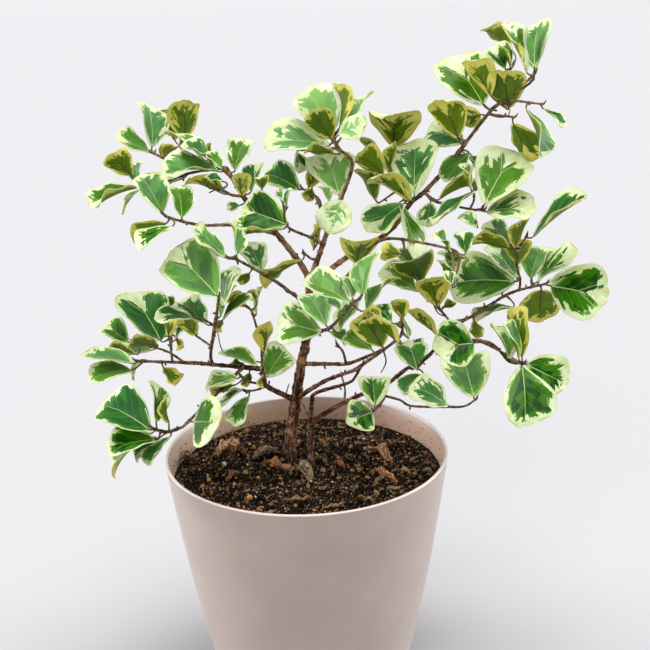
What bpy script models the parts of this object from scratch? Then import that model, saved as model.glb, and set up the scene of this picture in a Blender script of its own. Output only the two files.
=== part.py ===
"""A variegated triangle fig, Ficus triangularis, in its plain taupe pot.

Metres, +Z up. The origin is the middle of the pot's base, +X is the photograph's right and +Y points
away from its camera. Branches and leaves are placed where the photograph shows them: each point is a
pixel of it, with a depth behind or before the pot's axis.
"""

import itertools
import math
import random

import bmesh
import bpy
from mathutils import Quaternion, Vector, noise
from mathutils.bvhtree import BVHTree

MM = 0.001

# Pot, in metres
RIM_RADIUS = 0.110
POT_HEIGHT = 0.200
WALL = 0.0026
FLOOR_THICKNESS = 0.003
STRAIGHT_TAPER = 0.026
BELLY_TAPER = 0.0097
BELLY_POWER = 2.7
LIP_ROUND = 0.0013
FOOT_ROUND = 0.003
INNER_HEIGHTS = (FLOOR_THICKNESS, 0.07, 0.14)
OUTER_HEIGHTS = (0.14, 0.085, 0.04, 0.015)
LIP_STEPS = 4
FOOT_STEPS = 2
FOOT_START_DEG = -10
POT_STEPS = 40
TURN_MERGE = 0.00001

# Soil, in metres
SOIL_BELOW_RIM = 0.020
SOIL_BUMP = 0.0022
SOIL_BUMP_SIZE = 0.03
SOIL_FADE_POWER = 6
SOIL_STEPS = 30
SOIL_RINGS = (0.024, 0.052, 0.078)
SOIL_SIDE_HEIGHTS = (0.14, 0.07)

# Seats, in metres
GAP = 0.0003
STEM_SUNK = 0.055
STEM_UPRIGHT = 0.004
HOLE_STEPS = 16
HOLE_ABOVE_SOIL = 0.02
STUB_BEYOND_BARK = 0.0012
STUB_STEPS = 24

# The view in which branches and leaves were read: pixels, metres and degrees
MIDDLE_PX = 325
FOCAL_PX = 1000
EYE = Vector((0.017, -0.717, 0.528))
LOOK_DOWN_DEG = 17.63
ROLL_DEG = -1.6

# Twigs thinner than this, in mm, have four sides
SIX_SIDED_FROM = 4.0
CAP_WELD = 0.000001

# A branch's points that lie this near the line past them, in metres, are left out
STRAIGHT_WITHIN = 0.0008

# Leaves: lengths in metres, shares of a leaf's length or half width, angles in degrees
BLADE_THICKNESS = 0.0007
PETIOLE_WIDTH = 0.0015
SHORTEST_PETIOLE = 0.004
ROOT_STEP = 0.0024
WIDTH_PER_LENGTH = 0.9
LONGEST_LEAF = 0.050
LEAST_LEAN_DEG = 18
FLATTEST_WIDTH_LEAN_DEG = 10
EDGE_ON_DEG = 78
TIE_SHARE = 0.1
STALK_TURNED_FROM = 0.3
FOLD_DEG = (6, 16)
ARCH = (0.03, 0.08)
END_CURVE = 0.07
FULLEST_SHARE = 0.6
SET_BACK = 0.75
BLADE_ROWS = (0.0, 0.34, 0.7, 1.0)
SMALL_LEAF = 0.048
SMALL_BLADE_ROWS = (0.0, 0.4, 0.8, 1.0)
HALF_WIDTHS = ((0, 0.08), (0.15, 0.44), (0.34, 0.78), (0.5, 0.93), (0.7, 1), (0.85, 0.94), (1, 0.60))
SIDES = (-1, 0, 1)
UPPER = 1
UNDER = -1

# A leaf tries these shifts of its blade in depth, in metres, until it is clear of the rest
SHIFTS = (0, -0.004, 0.004, -0.008, 0.008, -0.012, 0.012, -0.017, 0.017, -0.023, 0.023)
CLEARANCE = 0.0004
OTHER_NODE_COST = 50
TREE_SIDES = 6

# The far side of the crown, which the photograph doesn't show, follows the near side: the leaves that look
# widest have a smaller one behind them, on a twig that leaves the near twig for the depth given, in mm
FAR_TWIGS = {
    "upper_left_riser": 92, "top_stem": 104, "neck_twig": 112, "left_riser": 26, "far_left_riser": 78,
    "right_low_twig": 12, "right_mid_twig": 86, "right_mid_riser": 68, "right_mid_fork": 100,
    "limb_end": 62, "upper_right_twig": 104, "right_twig": 62}
FAR_LEAF_FROM_PX = 30
FAR_SIZE = 0.82
FAR_TWIG_EXTRA = 0.4

STEM_NODES = ("main_stem", "second_stem")
SHARP_FROM_DEG = 40
SEED = 11

# name: (node, what carries it, width at its two ends in mm, depth of its end in mm, pixels)
BRANCHES = {
    "trunk": ("main_stem", None, (10.0, 5.4), 18,
              [(291, 458), (290, 440), (293, 420), (296, 400), (299, 380), (302, 360), (305, 348),
               (308, 320), (310, 280)]),
    "left_fork": ("main_stem", "trunk", (4.8, 3.6), 4,
                  [(310, 282), (300, 263), (290, 250), (281, 240), (273, 228), (260, 213)]),
    "right_fork": ("main_stem", "trunk", (4.8, 3.4), 40,
                   [(310, 281), (316, 263), (323, 242), (330, 224)]),
    "long_limb": ("main_stem", "trunk", (4.4, 3.2), 48,
                  [(309, 290), (331, 269), (344, 259), (358, 250), (372, 243), (383, 236), (398, 222),
                   (410, 204), (425, 191), (445, 170)]),
    "second_strand": ("main_stem", "trunk", (3.2, 2.6), -10,
                      [(307, 318), (324, 301), (340, 285), (347, 277)]),
    "shoulder": ("main_stem", "trunk", (3.6, 2.6), -2,
                 [(307, 312), (297, 297), (288, 291)]),
    "upper_crossing": ("main_stem", "trunk", (3.4, 2.0), -18,
                       [(304, 364), (320, 364), (335, 364), (350, 363), (370, 356), (380, 351)]),
    "lower_crossing": ("main_stem", "trunk", (3.8, 2.6), -34,
                       [(298, 398), (312, 388), (325, 381), (340, 375), (355, 370)]),
    "crossing_twig": ("main_stem", "upper_crossing", (2.0, 1.6), -28,
                      [(346, 363), (343, 352), (337, 344)]),

    "second_trunk": ("second_stem", None, (6.6, 5.0), 20,
                     [(311, 465), (311, 448), (311, 430), (311, 417)]),
    "rising_arm": ("second_stem", "second_trunk", (3.8, 2.0), 44,
                   [(311, 421), (312, 402), (316, 393), (335, 387), (348, 383), (355, 377), (362, 365)]),
    "right_arm": ("second_stem", "second_trunk", (4.2, 3.0), 14,
                  [(311, 422), (322, 416), (335, 408), (345, 402), (365, 393), (386, 384), (396, 377)]),
    "arm_twig": ("second_stem", "right_arm", (1.8, 1.4), 34,
                 [(344, 402), (345, 389), (342, 377)]),

    "upper_left_twig": ("upper_left_spray", "left_fork", (3.4, 1.8), 52,
                        [(260, 213), (245, 199), (240, 190), (233, 180), (228, 172), (222, 168), (196, 163),
                         (170, 160), (158, 154), (148, 150)]),
    "upper_left_strand": ("upper_left_spray", "upper_left_twig", (2.2, 1.6), -14,
                          [(242, 197), (232, 195), (222, 190), (211, 188)]),
    "upper_left_side": ("upper_left_spray", "upper_left_twig", (2.0, 1.5), 0,
                        [(222, 168), (205, 171), (187, 174), (163, 186), (146, 184), (134, 178)]),
    "upper_left_riser": ("upper_left_spray", "upper_left_twig", (1.8, 1.4), 66,
                         [(177, 161), (181, 150), (181, 140)]),
    "upper_left_bud": ("upper_left_spray", "upper_left_twig", (1.6, 1.3), -10,
                       [(252, 206), (262, 201), (262, 192)]),

    "mid_left_twig": ("mid_left_spray", "left_fork", (2.6, 1.6), -58,
                      [(277, 234), (252, 228), (228, 225), (200, 225), (183, 221), (170, 218), (163, 214)]),

    "inner_left_twig": ("inner_left_spray", "right_fork", (2.4, 1.6), -40,
                        [(322, 245), (315, 239), (300, 232), (288, 227), (285, 218), (284, 208)]),

    "top_stem": ("top_spray", "right_fork", (3.4, 2.0), 62,
                 [(330, 224), (333, 215), (341, 198), (347, 182), (352, 167), (345, 158), (338, 148),
                  (333, 138), (338, 131)]),
    "top_side": ("top_spray", "top_stem", (1.6, 1.3), 76,
                 [(338, 148), (320, 150), (303, 150)]),

    "neck_twig": ("neck_spray", "right_fork", (2.2, 1.6), 84,
                  [(326, 233), (322, 215), (320, 202), (314, 195), (303, 189)]),

    "fork_twig": ("fork_spray", "right_fork", (2.0, 1.5), -10,
                  [(318, 258), (312, 259), (304, 253)]),

    "shoulder_twig": ("shoulder_spray", "shoulder", (2.6, 1.7), -44,
                      [(288, 291), (278, 283), (265, 276), (250, 267), (238, 260), (231, 258)]),

    "low_limb": ("low_left_spray", "trunk", (4.4, 3.2), -8,
                 [(297, 400), (280, 393), (268, 387), (264, 380), (262, 368)]),
    "side_limb": ("low_left_spray", "low_limb", (3.2, 2.8), -14,
                  [(262, 369), (238, 366), (212, 364), (196, 363)]),
    "low_riser": ("low_left_spray", "low_limb", (2.2, 1.6), 38,
                  [(262, 370), (261, 345), (257, 330), (253, 315), (250, 309), (243, 303)]),
    "low_fork": ("low_left_spray", "low_limb", (2.0, 1.5), -28,
                 [(266, 384), (250, 382), (241, 376)]),
    "low_hook": ("low_left_spray", "low_limb", (1.8, 1.4), -16,
                 [(267, 386), (256, 390), (246, 391)]),

    "left_riser": ("left_riser_spray", "side_limb", (2.4, 1.6), -58,
                   [(212, 365), (211, 350), (213, 335), (216, 325), (218, 310), (219, 298)]),
    "left_riser_side": ("left_riser_spray", "left_riser", (1.6, 1.3), -10,
                        [(211, 346), (203, 341), (195, 335)]),
    "left_riser_link": ("left_riser_spray", "left_riser", (1.5, 1.3), -50,
                        [(216, 325), (205, 321), (198, 316)]),

    "far_left_twig": ("far_left_spray", "side_limb", (2.6, 1.7), -34,
                      [(196, 363), (180, 363), (160, 363), (148, 362), (138, 361)]),
    "far_left_upper": ("far_left_spray", "far_left_twig", (1.8, 1.4), 14,
                       [(184, 363), (172, 354), (160, 349), (146, 346), (134, 343)]),
    "far_left_riser": ("far_left_spray", "far_left_twig", (1.8, 1.3), 40,
                       [(172, 363), (171, 350), (170, 338), (172, 324)]),

    "diagonal_twig": ("bottom_left_spray", "side_limb", (2.8, 1.8), -84,
                      [(243, 367), (233, 377), (222, 390), (212, 400), (200, 411), (190, 420), (180, 428),
                       (166, 432), (154, 429)]),

    "heart_stalk": ("heart_spray", "trunk", (2.8, 2.4), -26,
                    [(306, 340), (313, 335), (320, 331)]),
    "heart_twig": ("heart_spray", "heart_stalk", (2.4, 1.7), -78,
                   [(320, 331), (331, 327), (342, 316), (351, 305), (359, 299)]),

    "crossing_end": ("crossing_spray", "lower_crossing", (2.6, 1.7), -76,
                     [(355, 370), (365, 362), (375, 355), (385, 349), (394, 342), (402, 332), (402, 320)]),

    "front_twig": ("front_spray", "right_arm", (2.2, 1.5), -6,
                   [(384, 385), (385, 395), (381, 403), (375, 409)]),
    "front_runner": ("front_spray", "front_twig", (1.9, 1.4), -48,
                     [(385, 396), (400, 400), (412, 406), (430, 406), (450, 407), (465, 406), (475, 400)]),

    "right_low_twig": ("right_low_spray", "right_arm", (3.0, 1.8), -62,
                       [(396, 377), (408, 368), (417, 366), (427, 358), (437, 348), (444, 342), (460, 340),
                        (478, 341), (490, 343), (500, 352), (509, 361), (521, 363)]),

    "right_mid_twig": ("right_mid_spray", "right_low_twig", (2.6, 1.7), 60,
                       [(438, 347), (443, 334), (453, 323), (466, 319), (482, 311), (496, 301), (510, 293),
                        (520, 290), (532, 288), (545, 284)]),
    "right_mid_riser": ("right_mid_spray", "right_mid_twig", (1.9, 1.4), 20,
                        [(519, 290), (520, 280), (517, 268), (516, 256), (520, 247), (526, 237)]),
    "right_mid_fork": ("right_mid_spray", "right_mid_twig", (1.8, 1.4), 62,
                       [(452, 324), (445, 315), (438, 307), (430, 300), (421, 289)]),

    "strand_end": ("mid_right_spray", "second_strand", (2.6, 1.5), -70,
                   [(347, 277), (351, 273), (358, 262), (366, 252), (380, 241), (400, 239), (426, 244),
                    (450, 249), (460, 256)]),

    "limb_end": ("far_right_spray", "long_limb", (3.2, 1.7), 20,
                 [(445, 170), (460, 150), (475, 130), (488, 114), (500, 103), (515, 93), (530, 83),
                  (534, 74)]),
    "limb_end_low": ("far_right_spray", "limb_end", (1.8, 1.4), 12,
                     [(488, 114), (500, 116), (513, 117)]),
    "limb_end_side": ("far_right_spray", "limb_end", (1.8, 1.4), -2,
                      [(500, 103), (515, 101), (527, 102), (541, 104)]),
    "limb_end_riser": ("far_right_spray", "limb_end", (1.6, 1.3), 58,
                       [(500, 103), (502, 90), (506, 76), (512, 66)]),

    "upper_right_knot": ("upper_right_spray", "long_limb", (2.6, 2.2), 24,
                         [(412, 203), (408, 199), (403, 196)]),
    "upper_right_twig": ("upper_right_spray", "upper_right_knot", (2.2, 1.5), 66,
                         [(403, 196), (396, 186), (392, 172), (390, 163), (395, 146)]),
    "upper_right_side": ("upper_right_spray", "upper_right_twig", (1.7, 1.3), 70,
                         [(398, 190), (388, 198), (379, 203)]),

    "right_twig": ("right_spray", "long_limb", (2.4, 1.5), 6,
                   [(424, 192), (437, 202), (455, 206), (470, 209), (482, 210)]),
    "right_twig_riser": ("right_spray", "right_twig", (1.6, 1.3), 26,
                         [(470, 209), (474, 200), (474, 190)]),
    "right_twig_drop": ("right_spray", "right_twig", (1.6, 1.3), -6,
                        [(470, 209), (475, 216), (476, 221)]),
}

# branch: leaves as (base x, base y, tip x, tip y, width seen, side seen), in pixels
LEAVES = {
    "upper_left_twig": [
        (154, 146, 150, 102, 29, UPPER), (150, 150, 118, 138, 18, UPPER), (206, 158, 169, 127, 9, UPPER),
        (222, 164, 191, 141, 9, UPPER), (220, 167, 164, 169, 18, UPPER), (207, 158, 207, 143, 10, UNDER),
        (234, 169, 245, 137, 25, UPPER), (250, 190, 260, 161, 17, UPPER), (243, 195, 238, 173, 18, UNDER),
        (239, 205, 227, 207, 10, UPPER), (222, 168, 208, 151, 12, UPPER)],
    "upper_left_strand": [(228, 195, 191, 181, 11, UNDER), (222, 180, 206, 175, 8, UPPER)],
    "upper_left_side": [
        (135, 180, 114, 159, 27, UNDER), (139, 184, 95, 206, 10, UPPER), (136, 189, 120, 212, 5, UPPER),
        (187, 174, 162, 187, 5, UPPER), (137, 186, 136, 160, 13, UPPER)],
    "upper_left_riser": [
        (177, 138, 158, 106, 22, UNDER), (184, 137, 185, 99, 33, UNDER), (181, 141, 165, 150, 19, UNDER)],
    "upper_left_bud": [(262, 190, 262, 178, 14, UNDER)],
    "mid_left_twig": [
        (168, 213, 146, 176, 31, UPPER), (183, 216, 179, 184, 25, UPPER), (166, 213, 134, 230, 17, UNDER),
        (171, 225, 136, 245, 14, UPPER)],
    "inner_left_twig": [
        (286, 223, 240, 207, 44, UPPER), (284, 225, 235, 234, 18, UPPER), (282, 200, 277, 189, 8, UPPER),
        (285, 207, 288, 190, 6, UPPER), (312, 249, 319, 225, 8, UNDER)],
    "fork_twig": [(303, 253, 265, 281, 6, UNDER)],
    "top_stem": [
        (335, 134, 308, 90, 45, UPPER), (331, 138, 313, 110, 28, UNDER), (332, 142, 265, 139, 33, UPPER),
        (343, 128, 342, 84, 12, UNDER), (345, 127, 367, 90, 18, UPPER), (338, 134, 366, 122, 24, UPPER),
        (341, 198, 328, 151, 50, UPPER), (341, 199, 330, 231, 36, UPPER), (330, 200, 322, 184, 10, UPPER)],
    "top_side": [(298, 152, 301, 172, 15, UPPER), (334, 152, 304, 148, 10, UNDER)],
    "neck_twig": [
        (303, 188, 266, 170, 30, UPPER), (307, 190, 316, 173, 18, UNDER), (312, 188, 306, 201, 14, UNDER)],
    "shoulder_twig": [
        (239, 254, 235, 221, 14, UPPER), (231, 258, 198, 232, 17, UPPER), (264, 274, 250, 244, 27, UPPER),
        (252, 268, 243, 280, 12, UNDER), (233, 261, 216, 257, 5, UPPER)],
    "low_limb": [(264, 380, 284, 350, 34, UPPER), (262, 374, 261, 388, 5, UNDER)],
    "side_limb": [
        (257, 364, 219, 349, 13, UPPER), (245, 366, 230, 362, 6, UPPER), (250, 366, 247, 380, 10, UNDER)],
    "low_riser": [
        (249, 308, 232, 296, 17, UNDER), (257, 300, 250, 289, 7, UNDER), (254, 313, 260, 285, 5, UPPER),
        (261, 356, 266, 327, 18, UNDER)],
    "low_fork": [
        (240, 375, 208, 380, 18, UPPER), (235, 383, 212, 395, 10, UNDER)],
    "low_hook": [(240, 388, 213, 413, 9, UPPER), (245, 390, 232, 420, 19, UPPER)],
    "left_riser": [
        (217, 293, 170, 249, 56, UPPER), (222, 305, 230, 263, 22, UPPER), (211, 317, 227, 286, 9, UPPER),
        (221, 318, 249, 295, 9, UPPER), (207, 322, 178, 298, 24, UPPER), (222, 321, 217, 331, 8, UNDER)],
    "left_riser_side": [(199, 339, 183, 321, 20, UNDER)],
    "left_riser_link": [(196, 314, 160, 312, 14, UPPER)],
    "far_left_twig": [
        (137, 358, 86, 352, 14, UPPER), (131, 367, 90, 378, 20, UPPER), (137, 362, 131, 379, 5, UPPER),
        (161, 365, 173, 384, 16, UNDER)],
    "far_left_upper": [
        (128, 341, 103, 324, 24, UPPER), (157, 343, 127, 345, 12, UNDER), (137, 352, 110, 347, 8, UNDER),
        (150, 347, 95, 365, 14, UPPER)],
    "far_left_riser": [
        (162, 338, 129, 289, 47, UPPER), (175, 312, 160, 298, 16, UPPER), (168, 341, 166, 318, 14, UNDER),
        (173, 338, 194, 316, 8, UPPER), (176, 336, 180, 350, 6, UNDER)],
    "diagonal_twig": [
        (150, 427, 101, 400, 46, UPPER), (159, 421, 155, 379, 17, UPPER), (166, 423, 164, 395, 6, UNDER),
        (155, 437, 110, 448, 25, UPPER), (148, 430, 106, 471, 16, UPPER), (171, 434, 150, 463, 13, UPPER),
        (157, 437, 133, 459, 14, UPPER), (190, 423, 213, 424, 51, UPPER)],
    "heart_twig": [
        (320, 331, 274, 320, 44, UPPER), (328, 325, 309, 292, 32, UPPER), (353, 298, 306, 277, 30, UPPER),
        (354, 297, 345, 274, 12, UPPER), (346, 314, 332, 300, 11, UPPER), (362, 299, 371, 253, 23, UPPER),
        (365, 308, 391, 273, 11, UPPER), (336, 330, 359, 298, 16, UPPER),
        (331, 332, 348, 342, 12, UPPER)],
    "crossing_end": [
        (384, 349, 367, 317, 40, UNDER), (400, 340, 363, 316, 10, UNDER), (372, 349, 345, 331, 26, UPPER),
        (392, 321, 375, 303, 19, UPPER), (382, 320, 365, 309, 13, UNDER),
        (403, 318, 398, 298, 18, UNDER), (410, 337, 401, 316, 5, UPPER)],
    "front_twig": [(374, 407, 371, 375, 33, UPPER), (374, 411, 352, 420, 36, UPPER)],
    "front_runner": [(474, 398, 461, 350, 50, UPPER), (454, 407, 418, 387, 28, UPPER)],
    "right_low_twig": [
        (417, 367, 408, 339, 35, UPPER), (421, 373, 401, 391, 14, UPPER), (479, 341, 441, 346, 48, UPPER),
        (437, 332, 408, 309, 12, UNDER), (525, 357, 509, 309, 16, UNDER), (522, 358, 507, 322, 8, UPPER),
        (518, 362, 499, 328, 15, UPPER), (524, 365, 527, 425, 52, UPPER), (526, 364, 566, 384, 44, UPPER),
        (438, 351, 438, 332, 9, UNDER)],
    "right_mid_twig": [
        (476, 318, 478, 336, 14, UNDER), (546, 281, 600, 292, 56, UPPER), (542, 289, 540, 322, 42, UNDER),
        (512, 305, 473, 316, 9, UPPER), (530, 277, 540, 245, 26, UPPER), (532, 275, 555, 246, 22, UPPER),
        (535, 279, 575, 250, 20, UPPER)],
    "right_mid_riser": [
        (518, 276, 490, 243, 24, UPPER), (520, 279, 455, 280, 52, UPPER), (516, 268, 515, 241, 28, UNDER),
        (511, 242, 484, 222, 20, UPPER), (514, 247, 522, 218, 16, UNDER), (526, 237, 578, 198, 12, UPPER),
        (509, 246, 470, 238, 14, UNDER)],
    "right_mid_fork": [
        (421, 278, 409, 254, 43, UNDER), (420, 289, 384, 270, 24, UPPER), (440, 306, 432, 277, 34, UNDER),
        (440, 308, 451, 302, 9, UNDER), (411, 268, 397, 247, 17, UPPER)],
    "strand_end": [
        (356, 264, 360, 241, 38, UNDER), (400, 254, 381, 251, 19, UNDER), (455, 271, 443, 249, 15, UPPER),
        (460, 256, 442, 239, 5, UPPER), (466, 252, 461, 230, 20, UPPER), (452, 284, 446, 270, 11, UPPER),
        (452, 281, 441, 259, 14, UNDER)],
    "limb_end": [
        (463, 141, 427, 122, 42, UPPER), (459, 136, 441, 98, 34, UNDER), (482, 114, 462, 120, 22, UNDER),
        (484, 102, 449, 53, 51, UPPER), (492, 93, 468, 60, 26, UNDER), (535, 76, 509, 29, 13, UPPER),
        (533, 68, 537, 20, 35, UPPER), (467, 152, 446, 180, 22, UPPER), (466, 153, 478, 168, 7, UPPER)],
    "limb_end_low": [(515, 121, 531, 161, 29, UNDER)],
    "limb_end_side": [(528, 103, 545, 150, 10, UPPER), (541, 104, 562, 122, 7, UPPER)],
    "limb_end_riser": [
        (509, 107, 503, 69, 41, UNDER), (512, 73, 496, 52, 19, UPPER), (513, 66, 499, 42, 6, UPPER),
        (511, 46, 485, 25, 18, UNDER)],
    "upper_right_knot": [
        (413, 193, 415, 138, 48, UPPER), (404, 202, 369, 231, 31, UPPER), (403, 203, 417, 257, 21, UPPER)],
    "upper_right_twig": [
        (390, 163, 412, 140, 12, UPPER), (397, 143, 396, 108, 52, UNDER),
        (387, 172, 393, 142, 12, UNDER), (384, 172, 357, 152, 27, UNDER), (384, 162, 362, 138, 7, UNDER)],
    "upper_right_side": [(412, 197, 372, 172, 19, UNDER), (376, 204, 360, 173, 18, UNDER)],
    "right_twig": [
        (430, 197, 428, 221, 21, UPPER), (481, 210, 528, 206, 27, UPPER), (434, 197, 468, 182, 8, UNDER),
        (484, 202, 516, 148, 56, UPPER)],
    "right_twig_riser": [
        (473, 188, 434, 223, 11, UPPER), (472, 187, 463, 163, 5, UPPER), (475, 190, 475, 178, 9, UPPER)],
    "right_twig_drop": [(477, 226, 461, 212, 16, UPPER)],
}


def add_far_side():
    """Adds the far twigs to the branches, and their leaves, behind the near ones."""
    for name, depth in FAR_TWIGS.items():
        node, _, widths, _, pixels = BRANCHES[name]
        slim = (widths[1] + FAR_TWIG_EXTRA, widths[1])
        BRANCHES[name + "_far"] = (node, name, slim, depth, pixels[1:-1:2] + pixels[-1:])
        rows = []
        for x0, y0, x1, y1, width, side in LEAVES[name]:
            if width < FAR_LEAF_FROM_PX:
                continue
            inset = (1 - FAR_SIZE) / 2
            rows.append((x0 + (x1 - x0) * inset, y0 + (y1 - y0) * inset,
                         x1 - (x1 - x0) * inset, y1 - (y1 - y0) * inset, width * FAR_SIZE, side))
        LEAVES[name + "_far"] = rows


add_far_side()

# Colours as linear red, green and blue, with roughness
POT_COLOUR = (0.42, 0.35, 0.30)
SOIL_COLOUR = (0.022, 0.015, 0.010)
BARK_COLOUR = (0.13, 0.075, 0.04)
LEAF_COLOUR = (0.07, 0.20, 0.06)
POT_ROUGHNESS = 0.6
SOIL_ROUGHNESS = 0.95
BARK_ROUGHNESS = 0.8
LEAF_ROUGHNESS = 0.35


def view_axes():
    """The view's directions: ahead, to its right, and up."""
    down = math.radians(LOOK_DOWN_DEG)
    roll = math.radians(ROLL_DEG)
    ahead = Vector((0, math.cos(down), -math.sin(down)))
    level_right = Vector((1, 0, 0))
    level_up = level_right.cross(ahead)
    right = level_right * math.cos(roll) + level_up * math.sin(roll)
    up = level_up * math.cos(roll) - level_right * math.sin(roll)
    return ahead, right, up


AHEAD, RIGHT, UP = view_axes()


def ray_through(x, y):
    """The direction in which a pixel of the photograph looks."""
    return AHEAD + RIGHT * ((x - MIDDLE_PX) / FOCAL_PX) + UP * ((MIDDLE_PX - y) / FOCAL_PX)


def point_at_depth(x, y, depth):
    """The point behind a pixel, at a depth in metres behind the pot's axis."""
    ray = ray_through(x, y)
    return EYE + ray * ((depth - EYE.y) / ray.y)


def point_at_height(x, y, height):
    """The point behind a pixel, at a height in metres."""
    ray = ray_through(x, y)
    return EYE + ray * ((height - EYE.z) / ray.z)


def pixel_of(point):
    """The pixel where the photograph shows a point."""
    offset = point - EYE
    distance = offset.dot(AHEAD)
    x = MIDDLE_PX + FOCAL_PX * offset.dot(RIGHT) / distance
    y = MIDDLE_PX - FOCAL_PX * offset.dot(UP) / distance
    return x, y


def metres_per_pixel(point):
    """The size of a pixel at a point's distance."""
    return (point - EYE).dot(AHEAD) / FOCAL_PX


def nearest_on_path(path, x, y):
    """The point of a path that looks nearest to a pixel, and its distance along the path."""
    best = None
    gone = 0.0
    for start, end in zip(path, path[1:]):
        x0, y0 = pixel_of(start)
        x1, y1 = pixel_of(end)
        run_x = x1 - x0
        run_y = y1 - y0
        share = ((x - x0) * run_x + (y - y0) * run_y) / (run_x ** 2 + run_y ** 2)
        share = min(max(share, 0.0), 1.0)
        apart = math.hypot(x0 + run_x * share - x, y0 + run_y * share - y)
        step = (end - start).length
        if best is None or apart < best[0]:
            best = (apart, start.lerp(end, share), gone + step * share)
        gone += step
    return best[1:]


def point_along(path, distance):
    """The point at a distance along a path."""
    for start, end in zip(path, path[1:]):
        step = (end - start).length
        if distance <= step:
            return start.lerp(end, max(distance, 0.0) / step)
        distance -= step
    return path[-1]


def apart_from(path, point):
    """The distance from a point to a path."""
    least = None
    for a, b in zip(path, path[1:]):
        run = b - a
        share = min(max((point - a).dot(run) / run.length_squared, 0.0), 1.0)
        apart = (a + run * share - point).length
        least = apart if least is None else min(least, apart)
    return least


def branch_path(pixels, start, end_depth):
    """Points through the pixels, from a start point, with the depth changing evenly to the end."""
    steps = [math.dist(a, b) for a, b in zip(pixels, pixels[1:])]
    path = [start]
    gone = 0.0
    for step, (x, y) in zip(steps, pixels[1:]):
        gone += step
        depth = start.y + (end_depth - start.y) * gone / sum(steps)
        path.append(point_at_depth(x, y, depth))
    return without_straight_points(path)


def without_straight_points(path):
    """A path without the points that hardly bend it."""
    kept = [path[0]]
    for point, after in zip(path[1:], path[2:]):
        if apart_from([kept[-1], after], point) > STRAIGHT_WITHIN:
            kept.append(point)
    return kept + [path[-1]]


def all_branch_paths():
    """Every branch's points, each branch starting on the one that carries it."""
    soil_height = POT_HEIGHT - SOIL_BELOW_RIM
    paths = {}
    for name, (_, carrier, _, end_depth, pixels) in BRANCHES.items():
        if carrier is None:
            start = point_at_height(*pixels[0], soil_height)
        else:
            start = nearest_on_path(paths[carrier], *pixels[0])[0]
        paths[name] = branch_path(pixels, start, end_depth * MM)
    return paths


def leaf_pose(base, row, turn):
    """Length, width and directions of a leaf, so that it looks as the photograph shows it.

    A leaf that looks narrow is turned about its length, and one that looks short leans towards or away
    from the view. Of the poses that look alike, the one whose upper side faces up most is taken, and
    turn settles a tie.
    """
    x0, y0, x1, y1, seen_width, side = row
    scale = metres_per_pixel(base)
    toward = (EYE - base).normalized()
    along = RIGHT * (x1 - x0) - UP * (y1 - y0)
    along = (along - toward * along.dot(toward)).normalized()
    across = toward.cross(along)
    seen_length = math.hypot(x1 - x0, y1 - y0) * scale
    seen_width = seen_width * scale
    least_lean = math.radians(LEAST_LEAN_DEG)
    length = min(seen_length / math.cos(least_lean), max(seen_length, LONGEST_LEAF))
    if seen_width < WIDTH_PER_LENGTH * length:
        width = WIDTH_PER_LENGTH * length
    else:
        width = seen_width / math.cos(math.radians(FLATTEST_WIDTH_LEAN_DEG))
        length = width / WIDTH_PER_LENGTH
    lean = math.acos(min(seen_length / length, 1.0))
    roll = min(math.acos(min(seen_width / width, 1.0)), math.radians(EDGE_ON_DEG))
    best = None
    for lean_sign in (1, -1):
        for roll_sign in (1, -1):
            tip_way = along * math.cos(lean) + toward * math.sin(lean) * lean_sign
            level = (toward * math.cos(lean) - along * math.sin(lean) * lean_sign) * side
            level_across = level.cross(tip_way)
            normal = level * math.cos(roll) + level_across * math.sin(roll) * roll_sign
            score = normal.z + TIE_SHARE * lean_sign * turn
            if best is None or score > best[0]:
                best = (score, tip_way, normal)
    _, tip_way, normal = best
    return length, width, tip_way, normal.cross(tip_way), normal


def half_width(share):
    """A leaf's half width at a share of its length: narrow at its stalk, broad near its far end."""
    for (s0, w0), (s1, w1) in zip(HALF_WIDTHS, HALF_WIDTHS[1:]):
        if share <= s1:
            return w0 + (w1 - w0) * (share - s0) / (s1 - s0)
    return HALF_WIDTHS[-1][1]


class Leaf:
    """One leaf: where its stalk leaves the twig, and its blade's place and shape."""

    def __init__(self, root, base, pose, fold, arch):
        self.root = root
        self.base = base
        self.length, self.width, self.tip_way, self.across, self.normal = pose
        self.fold = fold
        self.arch = arch

    def blade_point(self, share, side):
        """A point of the blade, by its share of the length and by side, from -1 to 1."""
        out = half_width(share) * self.width / 2 * side
        along = (share - END_CURVE * side ** 2 * share ** 4) * self.length
        rise = abs(out) * math.tan(self.fold) + self.arch * self.length * 4 * share * (1 - share)
        return self.base + self.tip_way * along + self.across * out + self.normal * rise

    def set_back(self):
        """Moves the blade back towards where it was read, since its fold and arch show it beside that."""
        edges = (self.blade_point(FULLEST_SHARE, -1) + self.blade_point(FULLEST_SHARE, 1)) / 2
        middle = (edges + self.blade_point(FULLEST_SHARE, 0)) / 2
        off = middle - self.base - self.tip_way * (middle - self.base).dot(self.tip_way)
        toward = (EYE - self.base).normalized()
        self.base -= (off - toward * off.dot(toward)) * SET_BACK

    def stalk_point(self, side):
        """A point of the stalk's row in the twig."""
        stalk_way = (self.base - self.root).normalized()
        across = self.normal.cross(stalk_way)
        if across.length < STALK_TURNED_FROM:
            across = self.across
        return self.root + across.normalized() * (PETIOLE_WIDTH / 2 * side)


def leaf_root(path, row, taken):
    """Where a leaf's stalk leaves its twig: the nearest point, moved back to stay clear of those taken."""
    place = nearest_on_path(path, *row[:2])[1]
    while any(abs(place - other) < ROOT_STEP for other in taken):
        place -= ROOT_STEP / 2
    taken.append(place)
    return point_along(path, place)


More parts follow.
